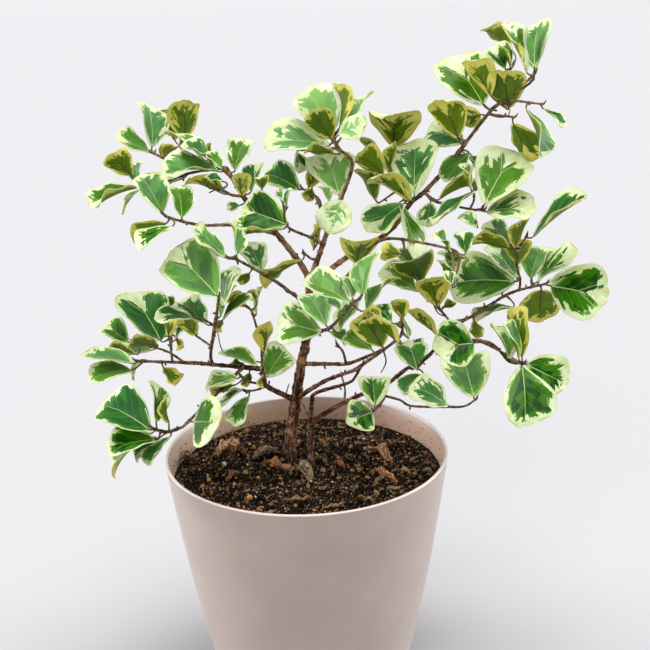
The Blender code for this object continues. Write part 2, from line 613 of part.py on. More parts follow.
def leaf_on(root, row, shift, turn, fold, arch):
    """The leaf of one row, from its root, with its blade shifted in depth."""
    x0, y0 = row[:2]
    base = point_at_depth(x0, y0, root.y + shift)
    pose = leaf_pose(base, row, turn)
    if (base - root).length < SHORTEST_PETIOLE:
        base = root + pose[2] * SHORTEST_PETIOLE
        pose = leaf_pose(base, row, turn)
    leaf = Leaf(root, base, pose, fold, arch)
    leaf.set_back()
    return leaf


def leaf_grid(leaf, shares):
    """Rows of three points across the stalk and then the blade, from side to side."""
    grid = [[leaf.stalk_point(side) for side in SIDES]]
    for share in shares:
        grid.append([leaf.blade_point(share, side) for side in SIDES])
    return grid


def leaf_tree(leaf):
    """A search tree of a leaf's skin, grown by the clearance."""
    grid = leaf_grid(leaf, BLADE_ROWS)
    out = leaf.normal * (BLADE_THICKNESS / 2 + CLEARANCE)
    lower = [point - out for row in grid for point in row]
    upper = [point + out for row in grid for point in row]
    faces = []
    count = len(lower)
    wide = len(SIDES)
    for a in range(0, count - wide, wide):
        for corner in (a, a + 1, a + count, a + count + 1):
            faces.append([corner, corner + 1, corner + 1 + wide, corner + wide])
        for corner in (a, a + wide - 1):
            faces.append([corner, corner + wide, corner + wide + count, corner + count])
    for a in (count - 3, count - 2):
        faces.append([a, a + 1, a + 1 + count, a + count])
    return BVHTree.FromPolygons(lower + upper, faces)


def wood_tree(path, width):
    """A search tree of a branch's bark, grown by the clearance."""
    points = []
    faces = []
    radius = width * MM / 2 + CLEARANCE
    for a, b in zip(path, path[1:]):
        way = (b - a).normalized()
        out = way.orthogonal().normalized() * radius
        first = len(points)
        for end in (a, b):
            for corner in range(TREE_SIDES):
                turned = Quaternion(way, math.tau * corner / TREE_SIDES) @ out
                points.append(end + turned)
        for corner in range(TREE_SIDES):
            beside = (corner + 1) % TREE_SIDES
            faces.append([first + corner, first + beside, first + TREE_SIDES + beside,
                          first + TREE_SIDES + corner])
    return BVHTree.FromPolygons(points, faces)


def all_leaves(paths):
    """Every leaf, by the branch it grows on, each at the first shift that clears what was there."""
    chance = random.Random(SEED)
    there = []
    for name, path in paths.items():
        there.append((BRANCHES[name][0], name, wood_tree(path, BRANCHES[name][2][0])))
    leaves = {}
    for branch, rows in LEAVES.items():
        node = BRANCHES[branch][0]
        leaves[branch] = []
        taken = []
        for number, row in enumerate(rows):
            root = leaf_root(paths[branch], row, taken)
            first_turn = 1 if number % 2 else -1
            fold = math.radians(chance.uniform(*FOLD_DEG))
            arch = chance.uniform(*ARCH)
            best = None
            for shift, turn in itertools.product(SHIFTS, (first_turn, -first_turn)):
                leaf = leaf_on(root, row, shift, turn, fold, arch)
                tree = leaf_tree(leaf)
                cost = 0
                for other_node, grower, other in there:
                    if grower != branch and tree.overlap(other):
                        cost += 1 if other_node == node else OTHER_NODE_COST
                if best is None or cost < best[0]:
                    best = (cost, leaf, tree)
                if cost == 0:
                    break
            leaves[branch].append(best[1])
            there.append((node, f"{branch} leaf {number}", best[2]))
    return leaves


def new_material(name, colour, roughness):
    """A plain Principled material."""
    material = bpy.data.materials.new(name)
    material.use_nodes = True
    shader = material.node_tree.nodes["Principled BSDF"]
    shader.inputs["Base Color"].default_value = (*colour, 1)
    shader.inputs["Roughness"].default_value = roughness
    return material


def mesh_object(name, mesh, collection):
    """A new object for a mesh, in a collection."""
    thing = bpy.data.objects.new(name, mesh)
    collection.objects.link(thing)
    return thing


def applied_mesh(thing):
    """The mesh of an object with its modifiers applied, in the world's place."""
    graph = bpy.context.evaluated_depsgraph_get()
    mesh = bpy.data.meshes.new_from_object(thing.evaluated_get(graph))
    mesh.transform(thing.matrix_world)
    return mesh


def weld_caps(mesh):
    """Joins a tube's loose caps to its sides."""
    work = bmesh.new()
    work.from_mesh(mesh)
    bmesh.ops.remove_doubles(work, verts=work.verts, dist=CAP_WELD)
    work.to_mesh(mesh)
    work.free()


def turned_object(name, profile, steps, collection):
    """A closed solid turned from (radius, height) points, the first and the last on the axis."""
    mesh = bpy.data.meshes.new(name)
    points = [(radius, 0, height) for radius, height in profile]
    edges = [(i, i + 1) for i in range(len(points) - 1)]
    mesh.from_pydata(points, edges, [])
    thing = mesh_object(name, mesh, collection)
    screw = thing.modifiers.new("turn", "SCREW")
    screw.steps = steps
    screw.render_steps = steps
    screw.use_merge_vertices = True
    screw.merge_threshold = TURN_MERGE
    screw.use_smooth_shade = True
    return thing


def pot_radius(height):
    """The pot's outside radius at a height: a straight taper that rounds in towards the foot."""
    fall = (POT_HEIGHT - height) / POT_HEIGHT
    return RIM_RADIUS - STRAIGHT_TAPER * fall - BELLY_TAPER * fall ** BELLY_POWER


def arc(centre, radius, start_deg, end_deg, steps):
    """Points of an arc in the profile's plane."""
    points = []
    for i in range(steps + 1):
        angle = math.radians(start_deg + (end_deg - start_deg) * i / steps)
        points.append((centre[0] + radius * math.cos(angle), centre[1] + radius * math.sin(angle)))
    return points


def make_pot(collection):
    """A thin tapered pot, open at the top, with a rounded lip and a flat base."""
    lip_centre = (RIM_RADIUS - LIP_ROUND, POT_HEIGHT - LIP_ROUND)
    foot_centre = (pot_radius(0) - FOOT_ROUND, FOOT_ROUND)
    profile = [(0, FLOOR_THICKNESS)]
    profile += [(pot_radius(height) - WALL, height) for height in INNER_HEIGHTS]
    profile += arc(lip_centre, LIP_ROUND, 180, 0, LIP_STEPS)
    profile += [(pot_radius(height), height) for height in OUTER_HEIGHTS]
    profile += arc(foot_centre, FOOT_ROUND, FOOT_START_DEG, -90, FOOT_STEPS)
    profile += [(0, 0)]
    return turned_object("pot", profile, POT_STEPS, collection)


def soil_surface(x, y):
    """The soil's height, with low bumps that die out at the pot's wall."""
    inner = pot_radius(POT_HEIGHT - SOIL_BELOW_RIM) - WALL - GAP
    fade = max(0.0, 1 - (math.hypot(x, y) / inner) ** SOIL_FADE_POWER)
    place = Vector((x, y, 0)) / SOIL_BUMP_SIZE
    return POT_HEIGHT - SOIL_BELOW_RIM + SOIL_BUMP * fade * noise.noise(place)


def make_soil(stems, collection, cutters):
    """The soil that fills the pot, with a plain hole for each stem."""
    top = POT_HEIGHT - SOIL_BELOW_RIM
    bottom = FLOOR_THICKNESS + GAP
    facet = math.cos(math.pi / POT_STEPS)
    profile = [(0, top)]
    profile += [(radius, top) for radius in SOIL_RINGS]
    for height in (top, *SOIL_SIDE_HEIGHTS, bottom):
        profile.append(((pot_radius(height) - WALL) * facet - GAP, height))
    profile += [(0, bottom)]
    soil = turned_object("soil", profile, SOIL_STEPS, collection)
    mesh = applied_mesh(soil)
    bpy.data.objects.remove(soil)
    for vertex in mesh.vertices:
        if vertex.co.z > top - GAP:
            vertex.co.z = soil_surface(vertex.co.x, vertex.co.y)
    soil = mesh_object("soil", mesh, collection)
    depth = STEM_SUNK + GAP + HOLE_ABOVE_SOIL
    for number, (foot, radius) in enumerate(stems):
        bpy.ops.mesh.primitive_cylinder_add(
            vertices=HOLE_STEPS, radius=(radius + GAP) / math.cos(math.pi / HOLE_STEPS), depth=depth,
            location=(foot.x, foot.y, top + HOLE_ABOVE_SOIL - depth / 2))
        cutter = bpy.context.object
        cutter.name = f"stem_hole_{number}"
        cutter.hide_render = True
        cutter.display_type = "WIRE"
        for holder in cutter.users_collection:
            holder.objects.unlink(cutter)
        cutters.objects.link(cutter)
        cut = soil.modifiers.new("stem_hole", "BOOLEAN")
        cut.operation = "DIFFERENCE"
        cut.object = cutter
    return soil


def tube(points, widths, collection):
    """A round tapering tube through points, closed at both ends."""
    curve = bpy.data.curves.new("tube", "CURVE")
    curve.dimensions = "3D"
    curve.bevel_depth = 1
    curve.bevel_resolution = 1 if widths[0] > SIX_SIDED_FROM else 0
    curve.use_fill_caps = True
    spline = curve.splines.new("POLY")
    spline.points.add(len(points) - 1)
    run = [0.0]
    for a, b in zip(points, points[1:]):
        run.append(run[-1] + (b - a).length)
    for place, point, gone in zip(spline.points, points, run):
        place.co = (*point, 1)
        place.radius = (widths[0] + (widths[1] - widths[0]) * gone / run[-1]) * MM / 2
    thing = bpy.data.objects.new("tube", curve)
    collection.objects.link(thing)
    bpy.context.view_layer.update()
    mesh = applied_mesh(thing)
    weld_caps(mesh)
    bpy.data.objects.remove(thing)
    return mesh_object("tube", mesh, collection)


def stub_length(path, carrier_path, clear):
    """How far along a branch's path it stands clear of its carrier's axis."""
    gone = 0.0
    for a, b in zip(path, path[1:]):
        step = (b - a).length
        for i in range(STUB_STEPS):
            point = a.lerp(b, i / STUB_STEPS)
            if apart_from(carrier_path, point) > clear:
                return gone + step * i / STUB_STEPS
        gone += step
    return gone / 2


def split_path(path, length):
    """A path cut at a length from its start, with the clearance between its two parts."""
    gone = 0.0
    for number, (a, b) in enumerate(zip(path, path[1:])):
        step = (b - a).length
        if gone + step > length + GAP or number == len(path) - 2:
            way = (b - a).normalized()
            at = a + way * (length - gone)
            return path[:number + 1] + [at], [at + way * GAP] + path[number + 1:]
        gone += step


def blade(leaf, collection):
    """A leaf with its stalk: a shaped grid with Solidify."""
    is_small = leaf.length < SMALL_LEAF
    grid = leaf_grid(leaf, SMALL_BLADE_ROWS if is_small else BLADE_ROWS)
    steps = len(grid) - 1
    work = bmesh.new()
    bmesh.ops.create_grid(work, x_segments=2, y_segments=steps, size=1)
    corners = {}
    for vertex in work.verts:
        column = round(vertex.co.x) + 1
        row = round((vertex.co.y + 1) / 2 * steps)
        vertex.co = grid[row][column]
        corners[row, column] = vertex
    joined = {corners[0, 1]: corners[0, 0], corners[1, 1]: corners[1, 0]}
    if is_small:
        joined[corners[steps, 0]] = corners[steps, 1]
        joined[corners[steps, 2]] = corners[steps, 1]
    bmesh.ops.weld_verts(work, targetmap=joined)
    bmesh.ops.triangulate(work, faces=work.faces, quad_method="SHORT_EDGE")
    mesh = bpy.data.meshes.new("blade")
    work.to_mesh(mesh)
    work.free()
    sheet = mesh_object("blade", mesh, collection)
    solid = sheet.modifiers.new("thickness", "SOLIDIFY")
    solid.thickness = BLADE_THICKNESS
    solid.offset = 0
    mesh = applied_mesh(sheet)
    bpy.data.objects.remove(sheet)
    return mesh_object("blade", mesh, collection)


def fuse(name, pieces, scratch, collection):
    """One solid from overlapping pieces: the first, joined with all the others."""
    body = mesh_object(name, pieces[0].data, collection)
    bpy.data.objects.remove(pieces[0])
    if len(scratch.objects):
        union = body.modifiers.new("union", "BOOLEAN")
        union.operation = "UNION"
        union.operand_type = "COLLECTION"
        union.collection = scratch
        union.solver = "MANIFOLD"
        bpy.context.view_layer.update()
        mesh = applied_mesh(body)
        drop_scraps(mesh)
        body.modifiers.clear()
        body.data = mesh
        for piece in list(scratch.objects):
            bpy.data.objects.remove(piece)
    return body


def thickness_at(name, path, point):
    """A branch's thickness, in metres, at the point of its path nearest to a point."""
    first, last = BRANCHES[name][2]
    along = [0.0]
    for a, b in zip(path, path[1:]):
        along.append(along[-1] + (b - a).length)
    nearest = min(range(len(path)), key=lambda number: (path[number] - point).length)
    return (first + (last - first) * along[nearest] / along[-1]) * MM


def drop_scraps(mesh):
    """Keeps the largest closed skin of a mesh, without sealed hollows or loose scraps."""
    work = bmesh.new()
    work.from_mesh(mesh)
    left = set(work.verts)
    skins = []
    while left:
        reached = {left.pop()}
        edge = list(reached)
        while edge:
            vertex = edge.pop()
            for link in vertex.link_edges:
                other = link.other_vert(vertex)
                if other in left:
                    left.remove(other)
                    reached.add(other)
                    edge.append(other)
        skins.append(reached)
    skins.sort(key=len)
    for skin in skins[:-1]:
        bmesh.ops.delete(work, geom=list(skin), context="VERTS")
    work.to_mesh(mesh)
    work.free()


def wood_by_node(paths):
    """Each node's stretches of wood, as (points, widths): a branch on another node starts from a stub."""
    wood = {}
    for name, (node, carrier, widths, _, _) in BRANCHES.items():
        path = paths[name]
        if carrier is None:
            foot = Vector((path[0].x, path[0].y, POT_HEIGHT - SOIL_BELOW_RIM))
            path = [foot - Vector((0, 0, STEM_SUNK)), foot + Vector((0, 0, STEM_UPRIGHT))] + path[1:]
            wood.setdefault(node, []).append((path, widths))
            continue
        carrier_node = BRANCHES[carrier][0]
        if carrier_node == node:
            wood.setdefault(node, []).append((path, widths))
            continue
        bark = thickness_at(carrier, paths[carrier], path[0]) / 2
        clear = bark + widths[0] * MM / 2 + STUB_BEYOND_BARK
        stub, rest = split_path(path, stub_length(path, paths[carrier], clear))
        wood.setdefault(carrier_node, []).append((stub, (widths[0], widths[0])))
        wood.setdefault(node, []).append((rest, widths))
    return wood


def main():
    """Builds the pot, the soil, the two stems and the leafy sprays."""
    for thing in list(bpy.data.objects):
        bpy.data.objects.remove(thing)
    collection = bpy.data.collections.new("triangle_fig")
    cutters = bpy.data.collections.new("cutters")
    scratch = bpy.data.collections.new("scratch")
    for each in (collection, cutters, scratch):
        bpy.context.scene.collection.children.link(each)

    pot_material = new_material("pot_plastic", POT_COLOUR, POT_ROUGHNESS)
    soil_material = new_material("potting_soil", SOIL_COLOUR, SOIL_ROUGHNESS)
    bark_material = new_material("bark", BARK_COLOUR, BARK_ROUGHNESS)
    leaf_material = new_material("leaf", LEAF_COLOUR, LEAF_ROUGHNESS)

    paths = all_branch_paths()
    leaves = all_leaves(paths)
    stems = []
    for name, (_, carrier, widths, _, _) in BRANCHES.items():
        if carrier is None:
            stems.append((paths[name][0], widths[0] * MM / 2))

    pot = make_pot(collection)
    pot.data.materials.append(pot_material)
    soil = make_soil(stems, collection, cutters)
    soil.data.materials.append(soil_material)

    for node, stretches in wood_by_node(paths).items():
        pieces = [tube(points, widths, scratch) for points, widths in stretches]
        for branch, grown in leaves.items():
            if BRANCHES[branch][0] == node:
                pieces += [blade(leaf, scratch) for leaf in grown]
        body = fuse(node, pieces, scratch, collection)
        body.data.materials.clear()
        body.data.materials.append(bark_material if node in STEM_NODES else leaf_material)
        body.data.shade_smooth()
        body.data.set_sharp_from_angle(angle=math.radians(SHARP_FROM_DEG))


if __name__ == "__main__":
    main()
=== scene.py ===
"""The looks of a variegated triangle fig, Ficus triangularis, in its plain taupe pot.

Metres, +Z up, in the frame's own axes. Stems, twigs and leaves stand where the frame's solids have them,
because the same readings and rules place them, and are made finely here: shaped blades with veins, round
stalks, knotty twigs, crumbly soil and a smooth pot.
"""

import itertools
import math
import random

import bpy
import numpy as np
from mathutils import Matrix, Quaternion, Vector, noise
from mathutils.bvhtree import BVHTree


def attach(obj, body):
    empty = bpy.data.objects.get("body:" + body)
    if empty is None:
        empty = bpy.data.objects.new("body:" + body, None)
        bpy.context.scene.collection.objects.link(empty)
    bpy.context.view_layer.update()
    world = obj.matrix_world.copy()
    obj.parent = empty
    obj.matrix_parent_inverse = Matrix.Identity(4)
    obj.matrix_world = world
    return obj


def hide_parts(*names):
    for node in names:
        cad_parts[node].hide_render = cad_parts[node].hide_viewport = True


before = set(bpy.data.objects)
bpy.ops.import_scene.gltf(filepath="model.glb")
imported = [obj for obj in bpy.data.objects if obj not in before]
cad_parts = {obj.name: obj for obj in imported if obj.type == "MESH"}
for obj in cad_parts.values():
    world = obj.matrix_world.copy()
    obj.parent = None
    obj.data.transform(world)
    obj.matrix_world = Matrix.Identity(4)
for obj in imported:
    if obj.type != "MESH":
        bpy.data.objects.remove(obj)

MM = 0.001
SHARP_FROM_DEG = 50

# Where a colour shows is told by two values between which it comes up, and the share it covers if not all

# Pot: counts, lengths in metres, and where its colours show
RIM_RADIUS = 0.110
POT_HEIGHT = 0.200
WALL = 0.0026
FLOOR_THICKNESS = 0.003
STRAIGHT_TAPER = 0.026
BELLY_TAPER = 0.0097
BELLY_POWER = 2.7
LIP_ROUND = 0.0013
FOOT_ROUND = 0.003
LIP_STEPS = 10
FOOT_STEPS = 6
WALL_STEPS = 24
POT_SIDES = 192
POT_SHEEN = 0.25
POT_RELIEF = 0.00006
POT_RELIEF_WEIGHTS = (0.5, 0.5)
MOTTLES = (0.3, 0.7)
# The lip's paler ink is a painted highlight, where light from above falls on its top
LIP_PAINTED_HIGHLIGHT = (POT_HEIGHT - LIP_ROUND, POT_HEIGHT - LIP_ROUND * 0.3, 0.9)
# The inner wall's lighter, warmer ink is painted light on a wall that lies in shade
INSIDE_PAINTED_LIGHT = (POT_HEIGHT, POT_HEIGHT - 0.008, 0.8)
DUST_REACH = (POT_HEIGHT - 0.004, POT_HEIGHT - 0.02)
DUST_SPECKS = (0.62, 0.68)

# Soil: lengths in metres, and the power by which its bumps die out at the wall
SOIL_BELOW_RIM = 0.020
SOIL_HEIGHT = POT_HEIGHT - SOIL_BELOW_RIM
SOIL_BUMP = 0.0022
SOIL_BUMP_SIZE = 0.03
SOIL_FADE_POWER = 6
GAP = 0.0003
STEM_UPRIGHT = 0.004

# Fine leaves: the places of their materials, counts, shares of a leaf's length or half width, and metres
TOP_SLOT, BACK_SLOT, STALK_SLOT = range(3)
FINE_ROWS = 24
FINE_SIDES = (0, 0.07, 0.17, 0.3, 0.44, 0.58, 0.72, 0.87, 1)
WIDEST_AT = 0.72
STALK_WIDTH = 0.08
END_WIDTH = 0.36
NOTCH_WIDTH = 0.22
CREASE_ROUND = 0.0010
MID_HALF_THICKNESS = 0.00032
EDGE_HALF_THICKNESS = 0.00016
EDGE_TAPER = 0.03
PUFF = 0.00034
LEAF_RELIEF = 0.0004
LEAF_RELIEF_WEIGHTS = (-0.6, -0.8, 0.12, 0.12)

# What differs from leaf to leaf: a range, or the values that one is drawn from
FULLNESS = (0.68, 0.95)
SKEW = (-0.06, 0.06)
NOTCHES = (0.0, 0.0, 0.015, 0.035)
WAVE_MM = (0.6, 2.6)
WAVE_COUNT = (0.9, 1.9)
CURL = (-0.05, 0.13)
CUP = (-0.03, 0.09)
TUCKS = (0.0, 0.0, 0.08, 0.16)
# Paleness is partly random tone and partly painted sunlight on lit leaves
PALENESS_AND_PAINTED_SUN = (0.0, 0.0, 0.08, 0.2)

# Veins and ribs: how many, shares of a leaf's measures, and where they show
VEINS = 6
VEIN_RAKE = 0.46
VEIN_STAGGER = 0.03
VEIN_LINE = (0.036, 0.01)
VEIN_FADE = (0.95, 0.3, 0.4)
VEIN_LOST_IN_CREAM = 0.75
RIB_WIDTHS = (0.034, 0.01)
RIB_CORE = 0.4
RIB_FADE = 0.35
RIB_END = (0.02, -0.02)
HIGHEST_FORK = 0.86
FORK_BELOW_WEDGE = 0.04
FORK_SPREAD = 0.85
FORK_LINE = (0.026, 0.008)
FORK_START = (-0.02, 0.0, 0.5)
FORK_END = (0.97, 0.8)

# Variegation: cream margins and wedges as shares of a leaf's length, and where its colours show
CREAM_WIDTHS = (0.055, 0.07, 0.08, 0.1, 0.13, 0.17)
UNDER_CREAM = 1.5
JITTER_WEIGHTS = (1.8, 0.35, 0.32)
LEAST_JITTER = 0.2
MARGIN_AT_STALK = 0.22
MARGIN_GROWTH = 0.85
MARGIN_EDGE = (0.007, -0.002)
RIM_BAND = (0.008, 0.002)
WEDGE_PLACES = ((0.42, 0.6), (0.5, 0.7))
WEDGE_JITTER = 0.13
WEDGE_SET_BACK = 0.16
WEDGE_EDGE = (-0.004, 0.012)
NO_WEDGE = 1.2
YELLOW_RAGGED = 0.4
YELLOW_CLOUDS = (0.55, 0.9)
GREY_REACH = (0.12, 0.0)
GREY_WEIGHTS = (0.7, 0.5, 0.2)
MID_GREENS = (0.8, 1.15, 0.85)
GREY_GREENS = (1.0, 1.05, 0.8)
# The cool tint is partly random tone and partly a painted bluish sheen
COOL_HUES_AND_SHEEN = (0.6, 0.95, 0.5)
WARM_HUES = (0.4, 0.05, 0.5)

# The pattern: how far apart leaves and flanks lie in it, and how many blocks it has along and across
SEED_SPREAD = 40.0
FLANK_SPREAD = 3.0
HUE_SPREAD = 7.3
BLOCKS = (9.0, 2.6)
SMALL_BLOCKS = (26.0, 7.0)
TONE_BLOCKS = (4.5, 1.8)
TONE_APART = 9.0
RAGGED_STRETCH = 0.45

# The tufts whose leaves have more cream, by how much, and how much paler that makes their green
CREAMIER = {
    "top_stem": 2.3, "shoulder_twig": 1.5, "far_left_twig": 1.6, "low_hook": 1.4, "heart_twig": 1.3,
    "upper_left_twig": 1.3, "right_twig": 1.3, "low_fork": 1.6}
CREAMY_PALENESS = 0.35

# Wood: counts, lengths in metres, shares of the local radius, and where its colours show
TWIG_STEP = 0.0022
TWIG_SIDES = 10
TWIG_ROUGH = 0.05
STEM_SIDES = 22
STEM_ROUGH = 0.12
STEM_FROM = 0.0045
STEM_BELOW_SOIL = 0.012
BARK_RELIEF = 0.002
BARK_RELIEF_WEIGHTS = (0.9, 0.5)
BARK_RELIEF_SIZE = 0.0022
BARK_APART_MM = 300.0
KNOT_REACH = 0.0011
KNOT_SWELL = 0.28
KNOT_EVERY = (0.007, 0.014)
MOST_KNOTS = 1.2
FORK_FLARE = 0.35
FORK_REACH = 0.004
GOES_ON_PX = 6
STREAK_STRETCH = 0.14
FINE_STRETCH = 0.4
SCAR_STRETCH = 2.4
SCARS = (0.66, 0.72, 0.7)
RIDGE_WEIGHTS = (0.4, 0.6, 0.4)
RIDGES = (0.7, 0.8, 0.9)
TWIG_GREENS = (0.85, 1.15)
BROWN_STREAKS = (0.44, 0.56)
WOOD_RAGGED_MM = 0.9
WOOD_FROM_MM = (1.2, 2.0)
HIGH_BARK = (0.27, 0.36, 0.7)
HIGH_PATCHES = (0.3, 0.55)
FOOT_RAGGED = 0.012
# The bark grows darker towards the soil, between these heights
FOOT_DARKENING = (0.196, 0.172, 0.6)

# Stalks, and the rib under each blade
STALK_RADIUS = 0.0008
STALK_FOOT_SWELL = 1.5
STALK_SIDES = 8
STALK_STEPS = 6
STALK_BEND = 0.45
STALK_RELIEF = 0.00008
STALK_STRETCH = 0.25
STALK_BROWN = (0.35, 0.65)
RIB_BROWN = (0.18, 0.4)
RIB_END_RADIUS = 0.00016
RIB_SHARES = (0.04, 0.12, 0.2, 0.3, 0.4, 0.5, 0.6)

# Ends of twigs, and stubs of what has fallen off them: ranges, and points as (how far out, how thick)
BLUNT_END = (0.5, 0.6)
BUD_POINTS = ((0.0012, 1.15), (0.0028, 0.85), (0.0044, 0.5), (0.0058, 0.12))
BUD_LIFT = Vector((0, 0, 0.25))
STUB_POINTS = ((0, 1.3), (0.5, 1.0), (0.9, 1.1), (1, 0.5))
STUB_EVERY = (0.016, 0.034)
STUB_LENGTH = (0.0014, 0.004)
STUB_LEAN = (0.2, 0.9)
STUB_RADIUS = 0.0007
STUB_SIDES = 6
STUB_ROUGH = 0.1

# Fine soil: counts, sizes in metres, tints from 0 to 1, and where its colours show
SOIL_FINE_RINGS = 64
SOIL_FINE_SIDES = 180
SOIL_WALL_STEPS = 4
SOIL_RELIEF = 0.0016
CLODS = ((0.028, 0.0050), (0.012, 0.0042), (0.005, 0.0028), (0.0024, 0.0016))
BED_TINT = 0.2
CLOUD_TINT = 0.6
BROWN_CRUMBS = (0.6, 1.25)
GRAIN_TINT = 0.3
LIGHT_GRAINS = (0.62, 0.8, 0.85)
TAN_GRAINS = (0.955, 0.965, 0.85)
PALE_GRAINS = (0.982, 0.986, 0.85)
LUMPS = 260
LUMP_SIZES = (0.0026, 0.0058)
GRAINS = 9100
GRAIN_SIZES = (0.0008, 0.0026)
GRAIN_SIZE_POWER = 2.2
GRAIN_RISE = (-0.05, 0.28)
GRAIN_SHAPES = (0.6, 1.1)
GRAIN_BUMPS = (0.75, 1.2)
WALL_GRAINS = 420
WALL_GRAIN_SIZES = (0.0004, 0.0013)
WALL_GRAIN_REACH = 0.014
WALL_GRAIN_POWER = 4
WALL_GRAIN_SUNK = 0.35
WALL_GRAIN_BUMPS = (0.7, 1.2)
WALL_GRAIN_TINT = 0.6

# Chips in the soil: counts, sizes in metres, angles in radians, and the shares of wood and of pale ones
FLAKES = 520
FLAKE_SIZES = (0.0010, 0.0048)
FLAKE_WIDTHS = (0.25, 0.8)
FLAKE_THICKNESS = 0.0004
FLAKE_STEPS = 4
FLAKE_NARROWS = 0.6
FLAKE_NARROWS_POWER = 2.5
FLAKE_LIFT = (0.0002, 0.0012)
FLAKE_TIP = 0.35
FLAKE_ROLL = 0.4
FLAKE_CURL = (-0.1, 0.12)
FLAKE_KINDS = (3, 2)
LITTER_RELIEF = 0.0003
LITTER_STRETCH = (0.4, 2.0, 30.0)
LITTER_STREAKS = (0.6, 0.42)

# Dry leaves and strips of bark on the soil: the pixels of their two ends, width and arch in mm, and kind
DRY_ROWS = 12
DRY_COLUMNS = 8
DRY_LIFT = 0.0016
DRY_THICKNESS = 0.0004
DRY_CURL = 0.9
DRY_CRUMPLE = 0.3
DRY_CRUMPLES = (3, 2)
DRY_PATTERN = (2.0, 1.0)
DRY_BLUNT = 0.08
DRY_FULLNESS = 0.7
DRY_DRAWN_IN = 0.9
DRY_BITS = (
    (218, 460, 246, 452, 17, 5.0, 0), (365, 452, 392, 463, 11, 4.0, 0), (262, 464, 290, 475, 9, 2.0, 2),
    (297, 470, 311, 482, 12, 3.0, 1), (252, 458, 277, 455, 10, 1.5, 1), (178, 465, 195, 462, 10, 3.0, 1),
    (283, 507, 313, 501, 4, 1.0, 0), (322, 508, 345, 507, 4, 1.0, 0), (372, 472, 397, 486, 7, 2.0, 2),
    (372, 487, 390, 478, 5, 1.5, 1), (386, 491, 400, 493, 4, 0.8, 1), (398, 474, 408, 478, 5, 1.0, 0),
    (422, 472, 432, 475, 5, 1.0, 1), (226, 478, 240, 474, 6, 1.0, 2), (334, 462, 344, 466, 6, 1.0, 2))

# The camera and the light: where each light comes from, how wide it looks in degrees, its strength and tint
SENSOR_MM = 36
FRAME_PX = 650
LIGHTS = {
    "left_light": ((-1.0, 0.22, 0.3), 45, 3.3, (1.0, 0.98, 0.97)),
    "right_light": ((1.0, 0.26, 0.3), 45, 2.7, (1.0, 0.98, 0.97)),
    "top_light": ((0.12, -0.1, 1.0), 40, 2.9, (1.0, 1.0, 0.98)),
    "front_light": ((-0.35, -1.0, 0.62), 40, 0.8, (1.0, 0.98, 0.95))}
SURROUND_DIMS = (0.15, 0.6)
FLOOR_REACH = 300.0

# The view in which branches and leaves were read: pixels, metres and degrees
MIDDLE_PX = 325
FOCAL_PX = 1000
EYE = Vector((0.017, -0.717, 0.528))
LOOK_DOWN_DEG = 17.63
ROLL_DEG = -1.6

# A branch's points that lie this near the line past them, in metres, are left out
STRAIGHT_WITHIN = 0.0008

# Leaves: lengths in metres, shares of a leaf's length or half width, angles in degrees
BLADE_THICKNESS = 0.0007
PETIOLE_WIDTH = 0.0015
SHORTEST_PETIOLE = 0.004
ROOT_STEP = 0.0024
WIDTH_PER_LENGTH = 0.9
LONGEST_LEAF = 0.050
LEAST_LEAN_DEG = 18
FLATTEST_WIDTH_LEAN_DEG = 10
EDGE_ON_DEG = 78
TIE_SHARE = 0.1
STALK_TURNED_FROM = 0.3
FOLD_DEG = (6, 16)
ARCH = (0.03, 0.08)
END_CURVE = 0.07
FULLEST_SHARE = 0.6
SET_BACK = 0.75
BLADE_ROWS = (0.0, 0.34, 0.7, 1.0)
HALF_WIDTHS = ((0, 0.08), (0.15, 0.44), (0.34, 0.78), (0.5, 0.93), (0.7, 1), (0.85, 0.94), (1, 0.60))
SIDES = (-1, 0, 1)
UPPER = 1
UNDER = -1

# A leaf tries these shifts of its blade in depth, in metres, until it is clear of the rest
SHIFTS = (0, -0.004, 0.004, -0.008, 0.008, -0.012, 0.012, -0.017, 0.017, -0.023, 0.023)
CLEARANCE = 0.0004
OTHER_NODE_COST = 50
TREE_SIDES = 6

# Bare fine twigs: what carries each, how much further back it ends in mm, and its pixels
FINE_TWIG_WIDTHS = (1.3, 0.8)
FINE_TWIGS = (
    ("shoulder_twig", 4, [(273, 280), (277, 281), (281, 287)]),
    ("upper_left_strand", -3, [(222, 190), (215, 190), (209, 193)]),
    ("limb_end_low", 5, [(488, 115), (498, 117), (508, 116), (510, 109)]),
    ("low_limb", 10, [(285, 396), (287, 391), (289, 384)]),
    ("second_trunk", 12, [(311, 424), (307, 412), (302, 403)]),
    ("right_mid_fork", -6, [(433, 302), (438, 313), (447, 317)]),
    ("low_riser", 8, [(238, 364), (226, 354), (221, 342), (217, 331)]),
    ("crossing_end", -5, [(384, 350), (386, 362), (381, 373)]))

# The far side of the crown: the near twigs that have a far one behind them, and its end's depth in mm
FAR_TWIGS = {
    "upper_left_riser": 92, "top_stem": 104, "neck_twig": 112, "left_riser": 26, "far_left_riser": 78,
    "right_low_twig": 12, "right_mid_twig": 86, "right_mid_riser": 68, "right_mid_fork": 100,
    "limb_end": 62, "upper_right_twig": 104, "right_twig": 62}
FAR_LEAF_FROM_PX = 30
FAR_SIZE = 0.82
FAR_TWIG_EXTRA = 0.4

STEM_NODES = ("main_stem", "second_stem")
SEED = 11

